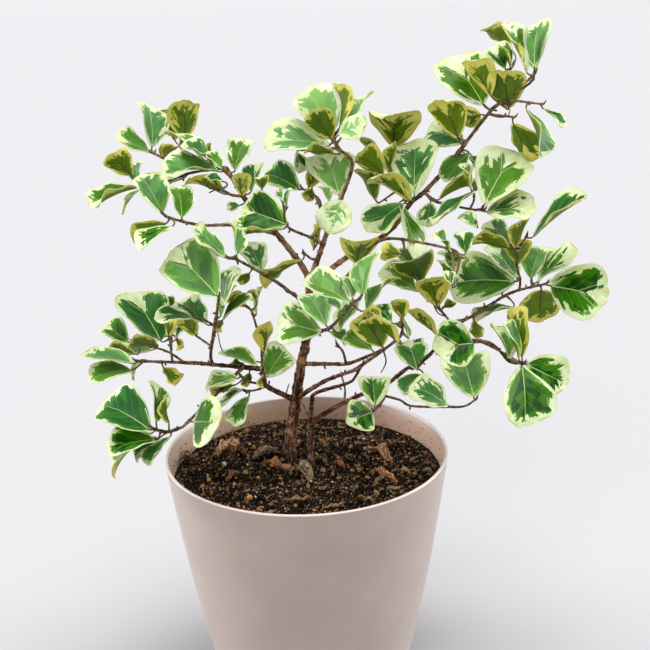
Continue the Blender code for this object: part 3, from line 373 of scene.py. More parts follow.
# Branches by node: what carries each, its width at its two ends and its end's depth in mm, its pixels
GROWTH = {
    "main_stem": {
        "trunk": (None, (10.0, 5.4), 18, [
            (291, 458), (290, 440), (293, 420), (296, 400), (299, 380), (302, 360), (305, 348), (308, 320),
            (310, 280)]),
        "left_fork": ("trunk", (4.8, 3.6), 4, [
            (310, 282), (300, 263), (290, 250), (281, 240), (273, 228), (260, 213)]),
        "right_fork": ("trunk", (4.8, 3.4), 40, [
            (310, 281), (316, 263), (323, 242), (330, 224)]),
        "long_limb": ("trunk", (4.4, 3.2), 48, [
            (309, 290), (331, 269), (344, 259), (358, 250), (372, 243), (383, 236), (398, 222), (410, 204),
            (425, 191), (445, 170)]),
        "second_strand": ("trunk", (3.2, 2.6), -10, [
            (307, 318), (324, 301), (340, 285), (347, 277)]),
        "shoulder": ("trunk", (3.6, 2.6), -2, [
            (307, 312), (297, 297), (288, 291)]),
        "upper_crossing": ("trunk", (3.4, 2.0), -18, [
            (304, 364), (320, 364), (335, 364), (350, 363), (370, 356), (380, 351)]),
        "lower_crossing": ("trunk", (3.8, 2.6), -34, [
            (298, 398), (312, 388), (325, 381), (340, 375), (355, 370)]),
        "crossing_twig": ("upper_crossing", (2.0, 1.6), -28, [
            (346, 363), (343, 352), (337, 344)])},
    "second_stem": {
        "second_trunk": (None, (6.6, 5.0), 20, [
            (311, 465), (311, 448), (311, 430), (311, 417)]),
        "rising_arm": ("second_trunk", (3.8, 2.0), 44, [
            (311, 421), (312, 402), (316, 393), (335, 387), (348, 383), (355, 377), (362, 365)]),
        "right_arm": ("second_trunk", (4.2, 3.0), 14, [
            (311, 422), (322, 416), (335, 408), (345, 402), (365, 393), (386, 384), (396, 377)]),
        "arm_twig": ("right_arm", (1.8, 1.4), 34, [
            (344, 402), (345, 389), (342, 377)])},
    "upper_left_spray": {
        "upper_left_twig": ("left_fork", (3.4, 1.8), 52, [
            (260, 213), (245, 199), (240, 190), (233, 180), (228, 172), (222, 168), (196, 163), (170, 160),
            (158, 154), (148, 150)]),
        "upper_left_strand": ("upper_left_twig", (2.2, 1.6), -14, [
            (242, 197), (232, 195), (222, 190), (211, 188)]),
        "upper_left_side": ("upper_left_twig", (2.0, 1.5), 0, [
            (222, 168), (205, 171), (187, 174), (163, 186), (146, 184), (134, 178)]),
        "upper_left_riser": ("upper_left_twig", (1.8, 1.4), 66, [
            (177, 161), (181, 150), (181, 140)]),
        "upper_left_bud": ("upper_left_twig", (1.6, 1.3), -10, [
            (252, 206), (262, 201), (262, 192)])},
    "mid_left_spray": {
        "mid_left_twig": ("left_fork", (2.6, 1.6), -58, [
            (277, 234), (252, 228), (228, 225), (200, 225), (183, 221), (170, 218), (163, 214)])},
    "inner_left_spray": {
        "inner_left_twig": ("right_fork", (2.4, 1.6), -40, [
            (322, 245), (315, 239), (300, 232), (288, 227), (285, 218), (284, 208)])},
    "top_spray": {
        "top_stem": ("right_fork", (3.4, 2.0), 62, [
            (330, 224), (333, 215), (341, 198), (347, 182), (352, 167), (345, 158), (338, 148), (333, 138),
            (338, 131)]),
        "top_side": ("top_stem", (1.6, 1.3), 76, [
            (338, 148), (320, 150), (303, 150)])},
    "neck_spray": {
        "neck_twig": ("right_fork", (2.2, 1.6), 84, [
            (326, 233), (322, 215), (320, 202), (314, 195), (303, 189)])},
    "fork_spray": {
        "fork_twig": ("right_fork", (2.0, 1.5), -10, [
            (318, 258), (312, 259), (304, 253)])},
    "shoulder_spray": {
        "shoulder_twig": ("shoulder", (2.6, 1.7), -44, [
            (288, 291), (278, 283), (265, 276), (250, 267), (238, 260), (231, 258)])},
    "low_left_spray": {
        "low_limb": ("trunk", (4.4, 3.2), -8, [
            (297, 400), (280, 393), (268, 387), (264, 380), (262, 368)]),
        "side_limb": ("low_limb", (3.2, 2.8), -14, [
            (262, 369), (238, 366), (212, 364), (196, 363)]),
        "low_riser": ("low_limb", (2.2, 1.6), 38, [
            (262, 370), (261, 345), (257, 330), (253, 315), (250, 309), (243, 303)]),
        "low_fork": ("low_limb", (2.0, 1.5), -28, [
            (266, 384), (250, 382), (241, 376)]),
        "low_hook": ("low_limb", (1.8, 1.4), -16, [
            (267, 386), (256, 390), (246, 391)])},
    "left_riser_spray": {
        "left_riser": ("side_limb", (2.4, 1.6), -58, [
            (212, 365), (211, 350), (213, 335), (216, 325), (218, 310), (219, 298)]),
        "left_riser_side": ("left_riser", (1.6, 1.3), -10, [
            (211, 346), (203, 341), (195, 335)]),
        "left_riser_link": ("left_riser", (1.5, 1.3), -50, [
            (216, 325), (205, 321), (198, 316)])},
    "far_left_spray": {
        "far_left_twig": ("side_limb", (2.6, 1.7), -34, [
            (196, 363), (180, 363), (160, 363), (148, 362), (138, 361)]),
        "far_left_upper": ("far_left_twig", (1.8, 1.4), 14, [
            (184, 363), (172, 354), (160, 349), (146, 346), (134, 343)]),
        "far_left_riser": ("far_left_twig", (1.8, 1.3), 40, [
            (172, 363), (171, 350), (170, 338), (172, 324)])},
    "bottom_left_spray": {
        "diagonal_twig": ("side_limb", (2.8, 1.8), -84, [
            (243, 367), (233, 377), (222, 390), (212, 400), (200, 411), (190, 420), (180, 428), (166, 432),
            (154, 429)])},
    "heart_spray": {
        "heart_stalk": ("trunk", (2.8, 2.4), -26, [
            (306, 340), (313, 335), (320, 331)]),
        "heart_twig": ("heart_stalk", (2.4, 1.7), -78, [
            (320, 331), (331, 327), (342, 316), (351, 305), (359, 299)])},
    "crossing_spray": {
        "crossing_end": ("lower_crossing", (2.6, 1.7), -76, [
            (355, 370), (365, 362), (375, 355), (385, 349), (394, 342), (402, 332), (402, 320)])},
    "front_spray": {
        "front_twig": ("right_arm", (2.2, 1.5), -6, [
            (384, 385), (385, 395), (381, 403), (375, 409)]),
        "front_runner": ("front_twig", (1.9, 1.4), -48, [
            (385, 396), (400, 400), (412, 406), (430, 406), (450, 407), (465, 406), (475, 400)])},
    "right_low_spray": {
        "right_low_twig": ("right_arm", (3.0, 1.8), -62, [
            (396, 377), (408, 368), (417, 366), (427, 358), (437, 348), (444, 342), (460, 340), (478, 341),
            (490, 343), (500, 352), (509, 361), (521, 363)])},
    "right_mid_spray": {
        "right_mid_twig": ("right_low_twig", (2.6, 1.7), 60, [
            (438, 347), (443, 334), (453, 323), (466, 319), (482, 311), (496, 301), (510, 293), (520, 290),
            (532, 288), (545, 284)]),
        "right_mid_riser": ("right_mid_twig", (1.9, 1.4), 20, [
            (519, 290), (520, 280), (517, 268), (516, 256), (520, 247), (526, 237)]),
        "right_mid_fork": ("right_mid_twig", (1.8, 1.4), 62, [
            (452, 324), (445, 315), (438, 307), (430, 300), (421, 289)])},
    "mid_right_spray": {
        "strand_end": ("second_strand", (2.6, 1.5), -70, [
            (347, 277), (351, 273), (358, 262), (366, 252), (380, 241), (400, 239), (426, 244), (450, 249),
            (460, 256)])},
    "far_right_spray": {
        "limb_end": ("long_limb", (3.2, 1.7), 20, [
            (445, 170), (460, 150), (475, 130), (488, 114), (500, 103), (515, 93), (530, 83), (534, 74)]),
        "limb_end_low": ("limb_end", (1.8, 1.4), 12, [
            (488, 114), (500, 116), (513, 117)]),
        "limb_end_side": ("limb_end", (1.8, 1.4), -2, [
            (500, 103), (515, 101), (527, 102), (541, 104)]),
        "limb_end_riser": ("limb_end", (1.6, 1.3), 58, [
            (500, 103), (502, 90), (506, 76), (512, 66)])},
    "upper_right_spray": {
        "upper_right_knot": ("long_limb", (2.6, 2.2), 24, [
            (412, 203), (408, 199), (403, 196)]),
        "upper_right_twig": ("upper_right_knot", (2.2, 1.5), 66, [
            (403, 196), (396, 186), (392, 172), (390, 163), (395, 146)]),
        "upper_right_side": ("upper_right_twig", (1.7, 1.3), 70, [
            (398, 190), (388, 198), (379, 203)])},
    "right_spray": {
        "right_twig": ("long_limb", (2.4, 1.5), 6, [
            (424, 192), (437, 202), (455, 206), (470, 209), (482, 210)]),
        "right_twig_riser": ("right_twig", (1.6, 1.3), 26, [
            (470, 209), (474, 200), (474, 190)]),
        "right_twig_drop": ("right_twig", (1.6, 1.3), -6, [
            (470, 209), (475, 216), (476, 221)])}}

# branch: leaves as (base x, base y, tip x, tip y, width seen, side seen), in pixels
LEAVES = {
    "upper_left_twig": [
        (154, 146, 150, 102, 29, UPPER), (150, 150, 118, 138, 18, UPPER), (206, 158, 169, 127, 9, UPPER),
        (222, 164, 191, 141, 9, UPPER), (220, 167, 164, 169, 18, UPPER), (207, 158, 207, 143, 10, UNDER),
        (234, 169, 245, 137, 25, UPPER), (250, 190, 260, 161, 17, UPPER), (243, 195, 238, 173, 18, UNDER),
        (239, 205, 227, 207, 10, UPPER), (222, 168, 208, 151, 12, UPPER)],
    "upper_left_strand": [(228, 195, 191, 181, 11, UNDER), (222, 180, 206, 175, 8, UPPER)],
    "upper_left_side": [
        (135, 180, 114, 159, 27, UNDER), (139, 184, 95, 206, 10, UPPER), (136, 189, 120, 212, 5, UPPER),
        (187, 174, 162, 187, 5, UPPER), (137, 186, 136, 160, 13, UPPER)],
    "upper_left_riser": [
        (177, 138, 158, 106, 22, UNDER), (184, 137, 185, 99, 33, UNDER), (181, 141, 165, 150, 19, UNDER)],
    "upper_left_bud": [(262, 190, 262, 178, 14, UNDER)],
    "mid_left_twig": [
        (168, 213, 146, 176, 31, UPPER), (183, 216, 179, 184, 25, UPPER), (166, 213, 134, 230, 17, UNDER),
        (171, 225, 136, 245, 14, UPPER)],
    "inner_left_twig": [
        (286, 223, 240, 207, 44, UPPER), (284, 225, 235, 234, 18, UPPER), (282, 200, 277, 189, 8, UPPER),
        (285, 207, 288, 190, 6, UPPER), (312, 249, 319, 225, 8, UNDER)],
    "fork_twig": [(303, 253, 265, 281, 6, UNDER)],
    "top_stem": [
        (335, 134, 308, 90, 45, UPPER), (331, 138, 313, 110, 28, UNDER), (332, 142, 265, 139, 33, UPPER),
        (343, 128, 342, 84, 12, UNDER), (345, 127, 367, 90, 18, UPPER), (338, 134, 366, 122, 24, UPPER),
        (341, 198, 328, 151, 50, UPPER), (341, 199, 330, 231, 36, UPPER), (330, 200, 322, 184, 10, UPPER)],
    "top_side": [(298, 152, 301, 172, 15, UPPER), (334, 152, 304, 148, 10, UNDER)],
    "neck_twig": [
        (303, 188, 266, 170, 30, UPPER), (307, 190, 316, 173, 18, UNDER), (312, 188, 306, 201, 14, UNDER)],
    "shoulder_twig": [
        (239, 254, 235, 221, 14, UPPER), (231, 258, 198, 232, 17, UPPER), (264, 274, 250, 244, 27, UPPER),
        (252, 268, 243, 280, 12, UNDER), (233, 261, 216, 257, 5, UPPER)],
    "low_limb": [(264, 380, 284, 350, 34, UPPER), (262, 374, 261, 388, 5, UNDER)],
    "side_limb": [
        (257, 364, 219, 349, 13, UPPER), (245, 366, 230, 362, 6, UPPER), (250, 366, 247, 380, 10, UNDER)],
    "low_riser": [
        (249, 308, 232, 296, 17, UNDER), (257, 300, 250, 289, 7, UNDER), (254, 313, 260, 285, 5, UPPER),
        (261, 356, 266, 327, 18, UNDER)],
    "low_fork": [
        (240, 375, 208, 380, 18, UPPER), (235, 383, 212, 395, 10, UNDER)],
    "low_hook": [(240, 388, 213, 413, 9, UPPER), (245, 390, 232, 420, 19, UPPER)],
    "left_riser": [
        (217, 293, 170, 249, 56, UPPER), (222, 305, 230, 263, 22, UPPER), (211, 317, 227, 286, 9, UPPER),
        (221, 318, 249, 295, 9, UPPER), (207, 322, 178, 298, 24, UPPER), (222, 321, 217, 331, 8, UNDER)],
    "left_riser_side": [(199, 339, 183, 321, 20, UNDER)],
    "left_riser_link": [(196, 314, 160, 312, 14, UPPER)],
    "far_left_twig": [
        (137, 358, 86, 352, 14, UPPER), (131, 367, 90, 378, 20, UPPER), (137, 362, 131, 379, 5, UPPER),
        (161, 365, 173, 384, 16, UNDER)],
    "far_left_upper": [
        (128, 341, 103, 324, 24, UPPER), (157, 343, 127, 345, 12, UNDER), (137, 352, 110, 347, 8, UNDER),
        (150, 347, 95, 365, 14, UPPER)],
    "far_left_riser": [
        (162, 338, 129, 289, 47, UPPER), (175, 312, 160, 298, 16, UPPER), (168, 341, 166, 318, 14, UNDER),
        (173, 338, 194, 316, 8, UPPER), (176, 336, 180, 350, 6, UNDER)],
    "diagonal_twig": [
        (150, 427, 101, 400, 46, UPPER), (159, 421, 155, 379, 17, UPPER), (166, 423, 164, 395, 6, UNDER),
        (155, 437, 110, 448, 25, UPPER), (148, 430, 106, 471, 16, UPPER), (171, 434, 150, 463, 13, UPPER),
        (157, 437, 133, 459, 14, UPPER), (190, 423, 213, 424, 51, UPPER)],
    "heart_twig": [
        (320, 331, 274, 320, 44, UPPER), (328, 325, 309, 292, 32, UPPER), (353, 298, 306, 277, 30, UPPER),
        (354, 297, 345, 274, 12, UPPER), (346, 314, 332, 300, 11, UPPER), (362, 299, 371, 253, 23, UPPER),
        (365, 308, 391, 273, 11, UPPER), (336, 330, 359, 298, 16, UPPER),
        (331, 332, 348, 342, 12, UPPER)],
    "crossing_end": [
        (384, 349, 367, 317, 40, UNDER), (400, 340, 363, 316, 10, UNDER), (372, 349, 345, 331, 26, UPPER),
        (392, 321, 375, 303, 19, UPPER), (382, 320, 365, 309, 13, UNDER),
        (403, 318, 398, 298, 18, UNDER), (410, 337, 401, 316, 5, UPPER)],
    "front_twig": [(374, 407, 371, 375, 33, UPPER), (374, 411, 352, 420, 36, UPPER)],
    "front_runner": [(474, 398, 461, 350, 50, UPPER), (454, 407, 418, 387, 28, UPPER)],
    "right_low_twig": [
        (417, 367, 408, 339, 35, UPPER), (421, 373, 401, 391, 14, UPPER), (479, 341, 441, 346, 48, UPPER),
        (437, 332, 408, 309, 12, UNDER), (525, 357, 509, 309, 16, UNDER), (522, 358, 507, 322, 8, UPPER),
        (518, 362, 499, 328, 15, UPPER), (524, 365, 527, 425, 52, UPPER), (526, 364, 566, 384, 44, UPPER),
        (438, 351, 438, 332, 9, UNDER)],
    "right_mid_twig": [
        (476, 318, 478, 336, 14, UNDER), (546, 281, 600, 292, 56, UPPER), (542, 289, 540, 322, 42, UNDER),
        (512, 305, 473, 316, 9, UPPER), (530, 277, 540, 245, 26, UPPER), (532, 275, 555, 246, 22, UPPER),
        (535, 279, 575, 250, 20, UPPER)],
    "right_mid_riser": [
        (518, 276, 490, 243, 24, UPPER), (520, 279, 455, 280, 52, UPPER), (516, 268, 515, 241, 28, UNDER),
        (511, 242, 484, 222, 20, UPPER), (514, 247, 522, 218, 16, UNDER), (526, 237, 578, 198, 12, UPPER),
        (509, 246, 470, 238, 14, UNDER)],
    "right_mid_fork": [
        (421, 278, 409, 254, 43, UNDER), (420, 289, 384, 270, 24, UPPER), (440, 306, 432, 277, 34, UNDER),
        (440, 308, 451, 302, 9, UNDER), (411, 268, 397, 247, 17, UPPER)],
    "strand_end": [
        (356, 264, 360, 241, 38, UNDER), (400, 254, 381, 251, 19, UNDER), (455, 271, 443, 249, 15, UPPER),
        (460, 256, 442, 239, 5, UPPER), (466, 252, 461, 230, 20, UPPER), (452, 284, 446, 270, 11, UPPER),
        (452, 281, 441, 259, 14, UNDER)],
    "limb_end": [
        (463, 141, 427, 122, 42, UPPER), (459, 136, 441, 98, 34, UNDER), (482, 114, 462, 120, 22, UNDER),
        (484, 102, 449, 53, 51, UPPER), (492, 93, 468, 60, 26, UNDER), (535, 76, 509, 29, 13, UPPER),
        (533, 68, 537, 20, 35, UPPER), (467, 152, 446, 180, 22, UPPER), (466, 153, 478, 168, 7, UPPER)],
    "limb_end_low": [(515, 121, 531, 161, 29, UNDER)],
    "limb_end_side": [(528, 103, 545, 150, 10, UPPER), (541, 104, 562, 122, 7, UPPER)],
    "limb_end_riser": [
        (509, 107, 503, 69, 41, UNDER), (512, 73, 496, 52, 19, UPPER), (513, 66, 499, 42, 6, UPPER),
        (511, 46, 485, 25, 18, UNDER)],
    "upper_right_knot": [
        (413, 193, 415, 138, 48, UPPER), (404, 202, 369, 231, 31, UPPER), (403, 203, 417, 257, 21, UPPER)],
    "upper_right_twig": [
        (390, 163, 412, 140, 12, UPPER), (397, 143, 396, 108, 52, UNDER),
        (387, 172, 393, 142, 12, UNDER), (384, 172, 357, 152, 27, UNDER), (384, 162, 362, 138, 7, UNDER)],
    "upper_right_side": [(412, 197, 372, 172, 19, UNDER), (376, 204, 360, 173, 18, UNDER)],
    "right_twig": [
        (430, 197, 428, 221, 21, UPPER), (481, 210, 528, 206, 27, UPPER), (434, 197, 468, 182, 8, UNDER),
        (484, 202, 516, 148, 56, UPPER)],
    "right_twig_riser": [
        (473, 188, 434, 223, 11, UPPER), (472, 187, 463, 163, 5, UPPER), (475, 190, 475, 178, 9, UPPER)],
    "right_twig_drop": [(477, 226, 461, 212, 16, UPPER)],
}


BRANCHES = {name: (node, *row) for node, rows in GROWTH.items() for name, row in rows.items()}


def add_far_side():
    """Adds far twigs, which the photograph doesn't show, behind near ones.

    The leaves of the near twig that look widest each have a smaller one behind them.
    """
    for name, depth in FAR_TWIGS.items():
        node, _, widths, _, pixels = BRANCHES[name]
        slim = (widths[1] + FAR_TWIG_EXTRA, widths[1])
        BRANCHES[name + "_far"] = (node, name, slim, depth, pixels[1:-1:2] + pixels[-1:])
        rows = []
        for x0, y0, x1, y1, width, side in LEAVES[name]:
            if width < FAR_LEAF_FROM_PX:
                continue
            inset = (1 - FAR_SIZE) / 2
            rows.append((x0 + (x1 - x0) * inset, y0 + (y1 - y0) * inset,
                         x1 - (x1 - x0) * inset, y1 - (y1 - y0) * inset, width * FAR_SIZE, side))
        LEAVES[name + "_far"] = rows


add_far_side()
BRANCH_NUMBER = {name: number for number, name in enumerate(BRANCHES)}


def goes_on(name):
    """True where another branch goes on from a branch's end."""
    end = BRANCHES[name][4][-1]
    return any(carrier == name and math.dist(pixels[0], end) < GOES_ON_PX
               for _, carrier, _, _, pixels in BRANCHES.values())


CARRIES_ON = [name for name in BRANCHES if goes_on(name)]


def view_axes():
    """The view's directions: ahead, to its right, and up."""
    down = math.radians(LOOK_DOWN_DEG)
    roll = math.radians(ROLL_DEG)
    ahead = Vector((0, math.cos(down), -math.sin(down)))
    level_right = Vector((1, 0, 0))
    level_up = level_right.cross(ahead)
    right = level_right * math.cos(roll) + level_up * math.sin(roll)
    up = level_up * math.cos(roll) - level_right * math.sin(roll)
    return ahead, right, up


AHEAD, RIGHT, UP = view_axes()


def ray_through(x, y):
    """The direction in which a pixel of the photograph looks."""
    return AHEAD + RIGHT * ((x - MIDDLE_PX) / FOCAL_PX) + UP * ((MIDDLE_PX - y) / FOCAL_PX)


def point_at_depth(x, y, depth):
    """The point behind a pixel, at a depth in metres behind the pot's axis."""
    ray = ray_through(x, y)
    return EYE + ray * ((depth - EYE.y) / ray.y)


def point_at_height(x, y, height):
    """The point behind a pixel, at a height in metres."""
    ray = ray_through(x, y)
    return EYE + ray * ((height - EYE.z) / ray.z)


def pixel_of(point):
    """The pixel where the photograph shows a point."""
    offset = point - EYE
    distance = offset.dot(AHEAD)
    x = MIDDLE_PX + FOCAL_PX * offset.dot(RIGHT) / distance
    y = MIDDLE_PX - FOCAL_PX * offset.dot(UP) / distance
    return x, y


def metres_per_pixel(point):
    """The size of a pixel at a point's distance."""
    return (point - EYE).dot(AHEAD) / FOCAL_PX


def nearest_on_path(path, x, y):
    """The point of a path that looks nearest to a pixel, and its distance along the path."""
    best = None
    gone = 0.0
    for start, end in zip(path, path[1:]):
        x0, y0 = pixel_of(start)
        x1, y1 = pixel_of(end)
        run_x = x1 - x0
        run_y = y1 - y0
        share = ((x - x0) * run_x + (y - y0) * run_y) / (run_x ** 2 + run_y ** 2)
        share = min(max(share, 0.0), 1.0)
        apart = math.hypot(x0 + run_x * share - x, y0 + run_y * share - y)
        step = (end - start).length
        if best is None or apart < best[0]:
            best = (apart, start.lerp(end, share), gone + step * share)
        gone += step
    return best[1:]


def point_along(path, distance):
    """The point at a distance along a path."""
    for start, end in zip(path, path[1:]):
        step = (end - start).length
        if distance <= step:
            return start.lerp(end, max(distance, 0.0) / step)
        distance -= step
    return path[-1]


def apart_from(path, point):
    """The distance from a point to a path."""
    least = None
    for a, b in zip(path, path[1:]):
        run = b - a
        share = min(max((point - a).dot(run) / run.length_squared, 0.0), 1.0)
        apart = (a + run * share - point).length
        least = apart if least is None else min(least, apart)
    return least


def branch_path(pixels, start, end_depth):
    """Points through the pixels, from a start point, with the depth changing evenly to the end."""
    steps = [math.dist(a, b) for a, b in zip(pixels, pixels[1:])]
    path = [start]
    gone = 0.0
    for step, (x, y) in zip(steps, pixels[1:]):
        gone += step
        depth = start.y + (end_depth - start.y) * gone / sum(steps)
        path.append(point_at_depth(x, y, depth))
    return without_straight_points(path)


def without_straight_points(path):
    """A path without the points that hardly bend it."""
    kept = [path[0]]
    for point, after in zip(path[1:], path[2:]):
        if apart_from([kept[-1], after], point) > STRAIGHT_WITHIN:
            kept.append(point)
    return kept + [path[-1]]


def all_branch_paths():
    """Every branch's points, each branch starting on the one that carries it."""
    paths = {}
    for name, (_, carrier, _, end_depth, pixels) in BRANCHES.items():
        if carrier is None:
            start = point_at_height(*pixels[0], SOIL_HEIGHT)
        else:
            start = nearest_on_path(paths[carrier], *pixels[0])[0]
        paths[name] = branch_path(pixels, start, end_depth * MM)
    return paths


def leaf_pose(base, row, turn):
    """Length, width and directions of a leaf, so that it looks as the photograph shows it.

    A leaf that looks narrow is turned about its length, and one that looks short leans towards or away
    from the view. Of the poses that look alike, the one whose upper side faces up most is taken, and
    turn settles a tie.
    """
    x0, y0, x1, y1, seen_width, side = row
    scale = metres_per_pixel(base)
    toward = (EYE - base).normalized()
    along = RIGHT * (x1 - x0) - UP * (y1 - y0)
    along = (along - toward * along.dot(toward)).normalized()
    across = toward.cross(along)
    seen_length = math.hypot(x1 - x0, y1 - y0) * scale
    seen_width = seen_width * scale
    least_lean = math.radians(LEAST_LEAN_DEG)
    length = min(seen_length / math.cos(least_lean), max(seen_length, LONGEST_LEAF))
    if seen_width < WIDTH_PER_LENGTH * length:
        width = WIDTH_PER_LENGTH * length
    else:
        width = seen_width / math.cos(math.radians(FLATTEST_WIDTH_LEAN_DEG))
        length = width / WIDTH_PER_LENGTH
    lean = math.acos(min(seen_length / length, 1.0))
    roll = min(math.acos(min(seen_width / width, 1.0)), math.radians(EDGE_ON_DEG))
    best = None
    for lean_sign in (1, -1):
        for roll_sign in (1, -1):
            tip_way = along * math.cos(lean) + toward * math.sin(lean) * lean_sign
            level = (toward * math.cos(lean) - along * math.sin(lean) * lean_sign) * side
            level_across = level.cross(tip_way)
            normal = level * math.cos(roll) + level_across * math.sin(roll) * roll_sign
            score = normal.z + TIE_SHARE * lean_sign * turn
            if best is None or score > best[0]:
                best = (score, tip_way, normal)
    _, tip_way, normal = best
    return length, width, tip_way, normal.cross(tip_way), normal


def half_width(share):
    """A leaf's half width at a share of its length: narrow at its stalk, broad near its far end."""
    for (s0, w0), (s1, w1) in zip(HALF_WIDTHS, HALF_WIDTHS[1:]):
        if share <= s1:
            return w0 + (w1 - w0) * (share - s0) / (s1 - s0)
    return HALF_WIDTHS[-1][1]


class Leaf:
    """One leaf: where its stalk leaves the twig, and its blade's place and shape."""

    def __init__(self, root, base, pose, fold, arch):
        self.root = root
        self.base = base
        self.length, self.width, self.tip_way, self.across, self.normal = pose
        self.fold = fold
        self.arch = arch

    def blade_point(self, share, side):
        """A point of the blade, by its share of the length and by side, from -1 to 1."""
        out = half_width(share) * self.width / 2 * side
        along = (share - END_CURVE * side ** 2 * share ** 4) * self.length
        rise = abs(out) * math.tan(self.fold) + self.arch * self.length * 4 * share * (1 - share)
        return self.base + self.tip_way * along + self.across * out + self.normal * rise

    def set_back(self):
        """Moves the blade back towards where it was read, since its fold and arch show it beside that."""
        edges = (self.blade_point(FULLEST_SHARE, -1) + self.blade_point(FULLEST_SHARE, 1)) / 2
        middle = (edges + self.blade_point(FULLEST_SHARE, 0)) / 2
        off = middle - self.base - self.tip_way * (middle - self.base).dot(self.tip_way)
        toward = (EYE - self.base).normalized()
        self.base -= (off - toward * off.dot(toward)) * SET_BACK

    def stalk_point(self, side):
        """A point of the stalk's row in the twig."""
        stalk_way = (self.base - self.root).normalized()
        across = self.normal.cross(stalk_way)
        if across.length < STALK_TURNED_FROM:
            across = self.across
        return self.root + across.normalized() * (PETIOLE_WIDTH / 2 * side)


def leaf_root(path, row, taken):
    """Where a leaf's stalk leaves its twig: the nearest point, moved back to stay clear of those taken."""
    place = nearest_on_path(path, *row[:2])[1]
    while any(abs(place - other) < ROOT_STEP for other in taken):
        place -= ROOT_STEP / 2
    taken.append(place)
    return point_along(path, place)


def leaf_on(root, row, shift, turn, fold, arch):
    """The leaf of one row, from its root, with its blade shifted in depth."""
    x0, y0 = row[:2]
    base = point_at_depth(x0, y0, root.y + shift)
    pose = leaf_pose(base, row, turn)
    if (base - root).length < SHORTEST_PETIOLE:
        base = root + pose[2] * SHORTEST_PETIOLE
        pose = leaf_pose(base, row, turn)
    leaf = Leaf(root, base, pose, fold, arch)
    leaf.set_back()
    return leaf


def leaf_grid(leaf, shares):
    """Rows of three points across the stalk and then the blade, from side to side."""
    grid = [[leaf.stalk_point(side) for side in SIDES]]
    for share in shares:
        grid.append([leaf.blade_point(share, side) for side in SIDES])
    return grid


def leaf_tree(leaf):
    """A search tree of a leaf's skin, grown by the clearance."""
    grid = leaf_grid(leaf, BLADE_ROWS)
    out = leaf.normal * (BLADE_THICKNESS / 2 + CLEARANCE)
    lower = [point - out for row in grid for point in row]
    upper = [point + out for row in grid for point in row]
    faces = []
    count = len(lower)
    wide = len(SIDES)
    for a in range(0, count - wide, wide):
        for corner in (a, a + 1, a + count, a + count + 1):
            faces.append([corner, corner + 1, corner + 1 + wide, corner + wide])
        for corner in (a, a + wide - 1):
            faces.append([corner, corner + wide, corner + wide + count, corner + count])
    for a in (count - 3, count - 2):
        faces.append([a, a + 1, a + 1 + count, a + count])
    return BVHTree.FromPolygons(lower + upper, faces)


def wood_tree(path, width):
    """A search tree of a branch's bark, grown by the clearance."""
    points = []
    faces = []
    radius = width * MM / 2 + CLEARANCE
    for a, b in zip(path, path[1:]):
        way = (b - a).normalized()
        out = way.orthogonal().normalized() * radius
        first = len(points)
        for end in (a, b):
            for corner in range(TREE_SIDES):
                turned = Quaternion(way, math.tau * corner / TREE_SIDES) @ out
                points.append(end + turned)
        for corner in range(TREE_SIDES):
            beside = (corner + 1) % TREE_SIDES
            faces.append([first + corner, first + beside, first + TREE_SIDES + beside,
                          first + TREE_SIDES + corner])
    return BVHTree.FromPolygons(points, faces)


def all_leaves(paths):
    """Every leaf, by the branch it grows on, each at the first shift that clears what was there."""
    chance = random.Random(SEED)
    there = []
    for name, path in paths.items():
        there.append((BRANCHES[name][0], name, wood_tree(path, BRANCHES[name][2][0])))
    leaves = {}
    for branch, rows in LEAVES.items():
        node = BRANCHES[branch][0]
        leaves[branch] = []
        taken = []
        for number, row in enumerate(rows):
            root = leaf_root(paths[branch], row, taken)
            first_turn = 1 if number % 2 else -1
            fold = math.radians(chance.uniform(*FOLD_DEG))
            arch = chance.uniform(*ARCH)
            best = None
            for shift, turn in itertools.product(SHIFTS, (first_turn, -first_turn)):
                leaf = leaf_on(root, row, shift, turn, fold, arch)
                tree = leaf_tree(leaf)
                cost = 0
                for other_node, grower, other in there:
                    if grower != branch and tree.overlap(other):
                        cost += 1 if other_node == node else OTHER_NODE_COST
                if best is None or cost < best[0]:
                    best = (cost, leaf, tree)
                if cost == 0:
                    break
            leaves[branch].append(best[1])
            there.append((node, f"{branch} leaf {number}", best[2]))
    return leaves


def pot_radius(height):
    """The pot's outside radius at a height: a straight taper that rounds in towards the foot."""
    fall = (POT_HEIGHT - height) / POT_HEIGHT
    return RIM_RADIUS - STRAIGHT_TAPER * fall - BELLY_TAPER * fall ** BELLY_POWER


SOIL_RADIUS = pot_radius(SOIL_HEIGHT) - WALL - GAP


def soil_surface(x, y):
    """The soil's height, with low bumps that die out at the pot's wall."""
    fade = max(0.0, 1 - (math.hypot(x, y) / SOIL_RADIUS) ** SOIL_FADE_POWER)
    return SOIL_HEIGHT + SOIL_BUMP * fade * noise.noise(Vector((x, y, 0)) / SOIL_BUMP_SIZE)


def smooth_path(path, step):
    """Points about a step apart along a smooth curve through a path's points."""
    ends = [path[0] * 2 - path[1]] + list(path) + [path[-1] * 2 - path[-2]]
    points = []
    for before, start, end, after in zip(ends, ends[1:], ends[2:], ends[3:]):
        count = max(1, round((end - start).length / step))
        for i in range(count):
            t = i / count
            pull = (end - before) * t + (before * 2 - start * 5 + end * 4 - after) * t ** 2
            pull += (start * 3 - before - end * 3 + after) * t ** 3
            points.append(start + pull / 2)
    return points + [path[-1]]


def lengths_along(points):
    """The distance along a path at each of its points."""
    gone = [0.0]
    for a, b in zip(points, points[1:]):
        gone.append(gone[-1] + (b - a).length)
    return gone


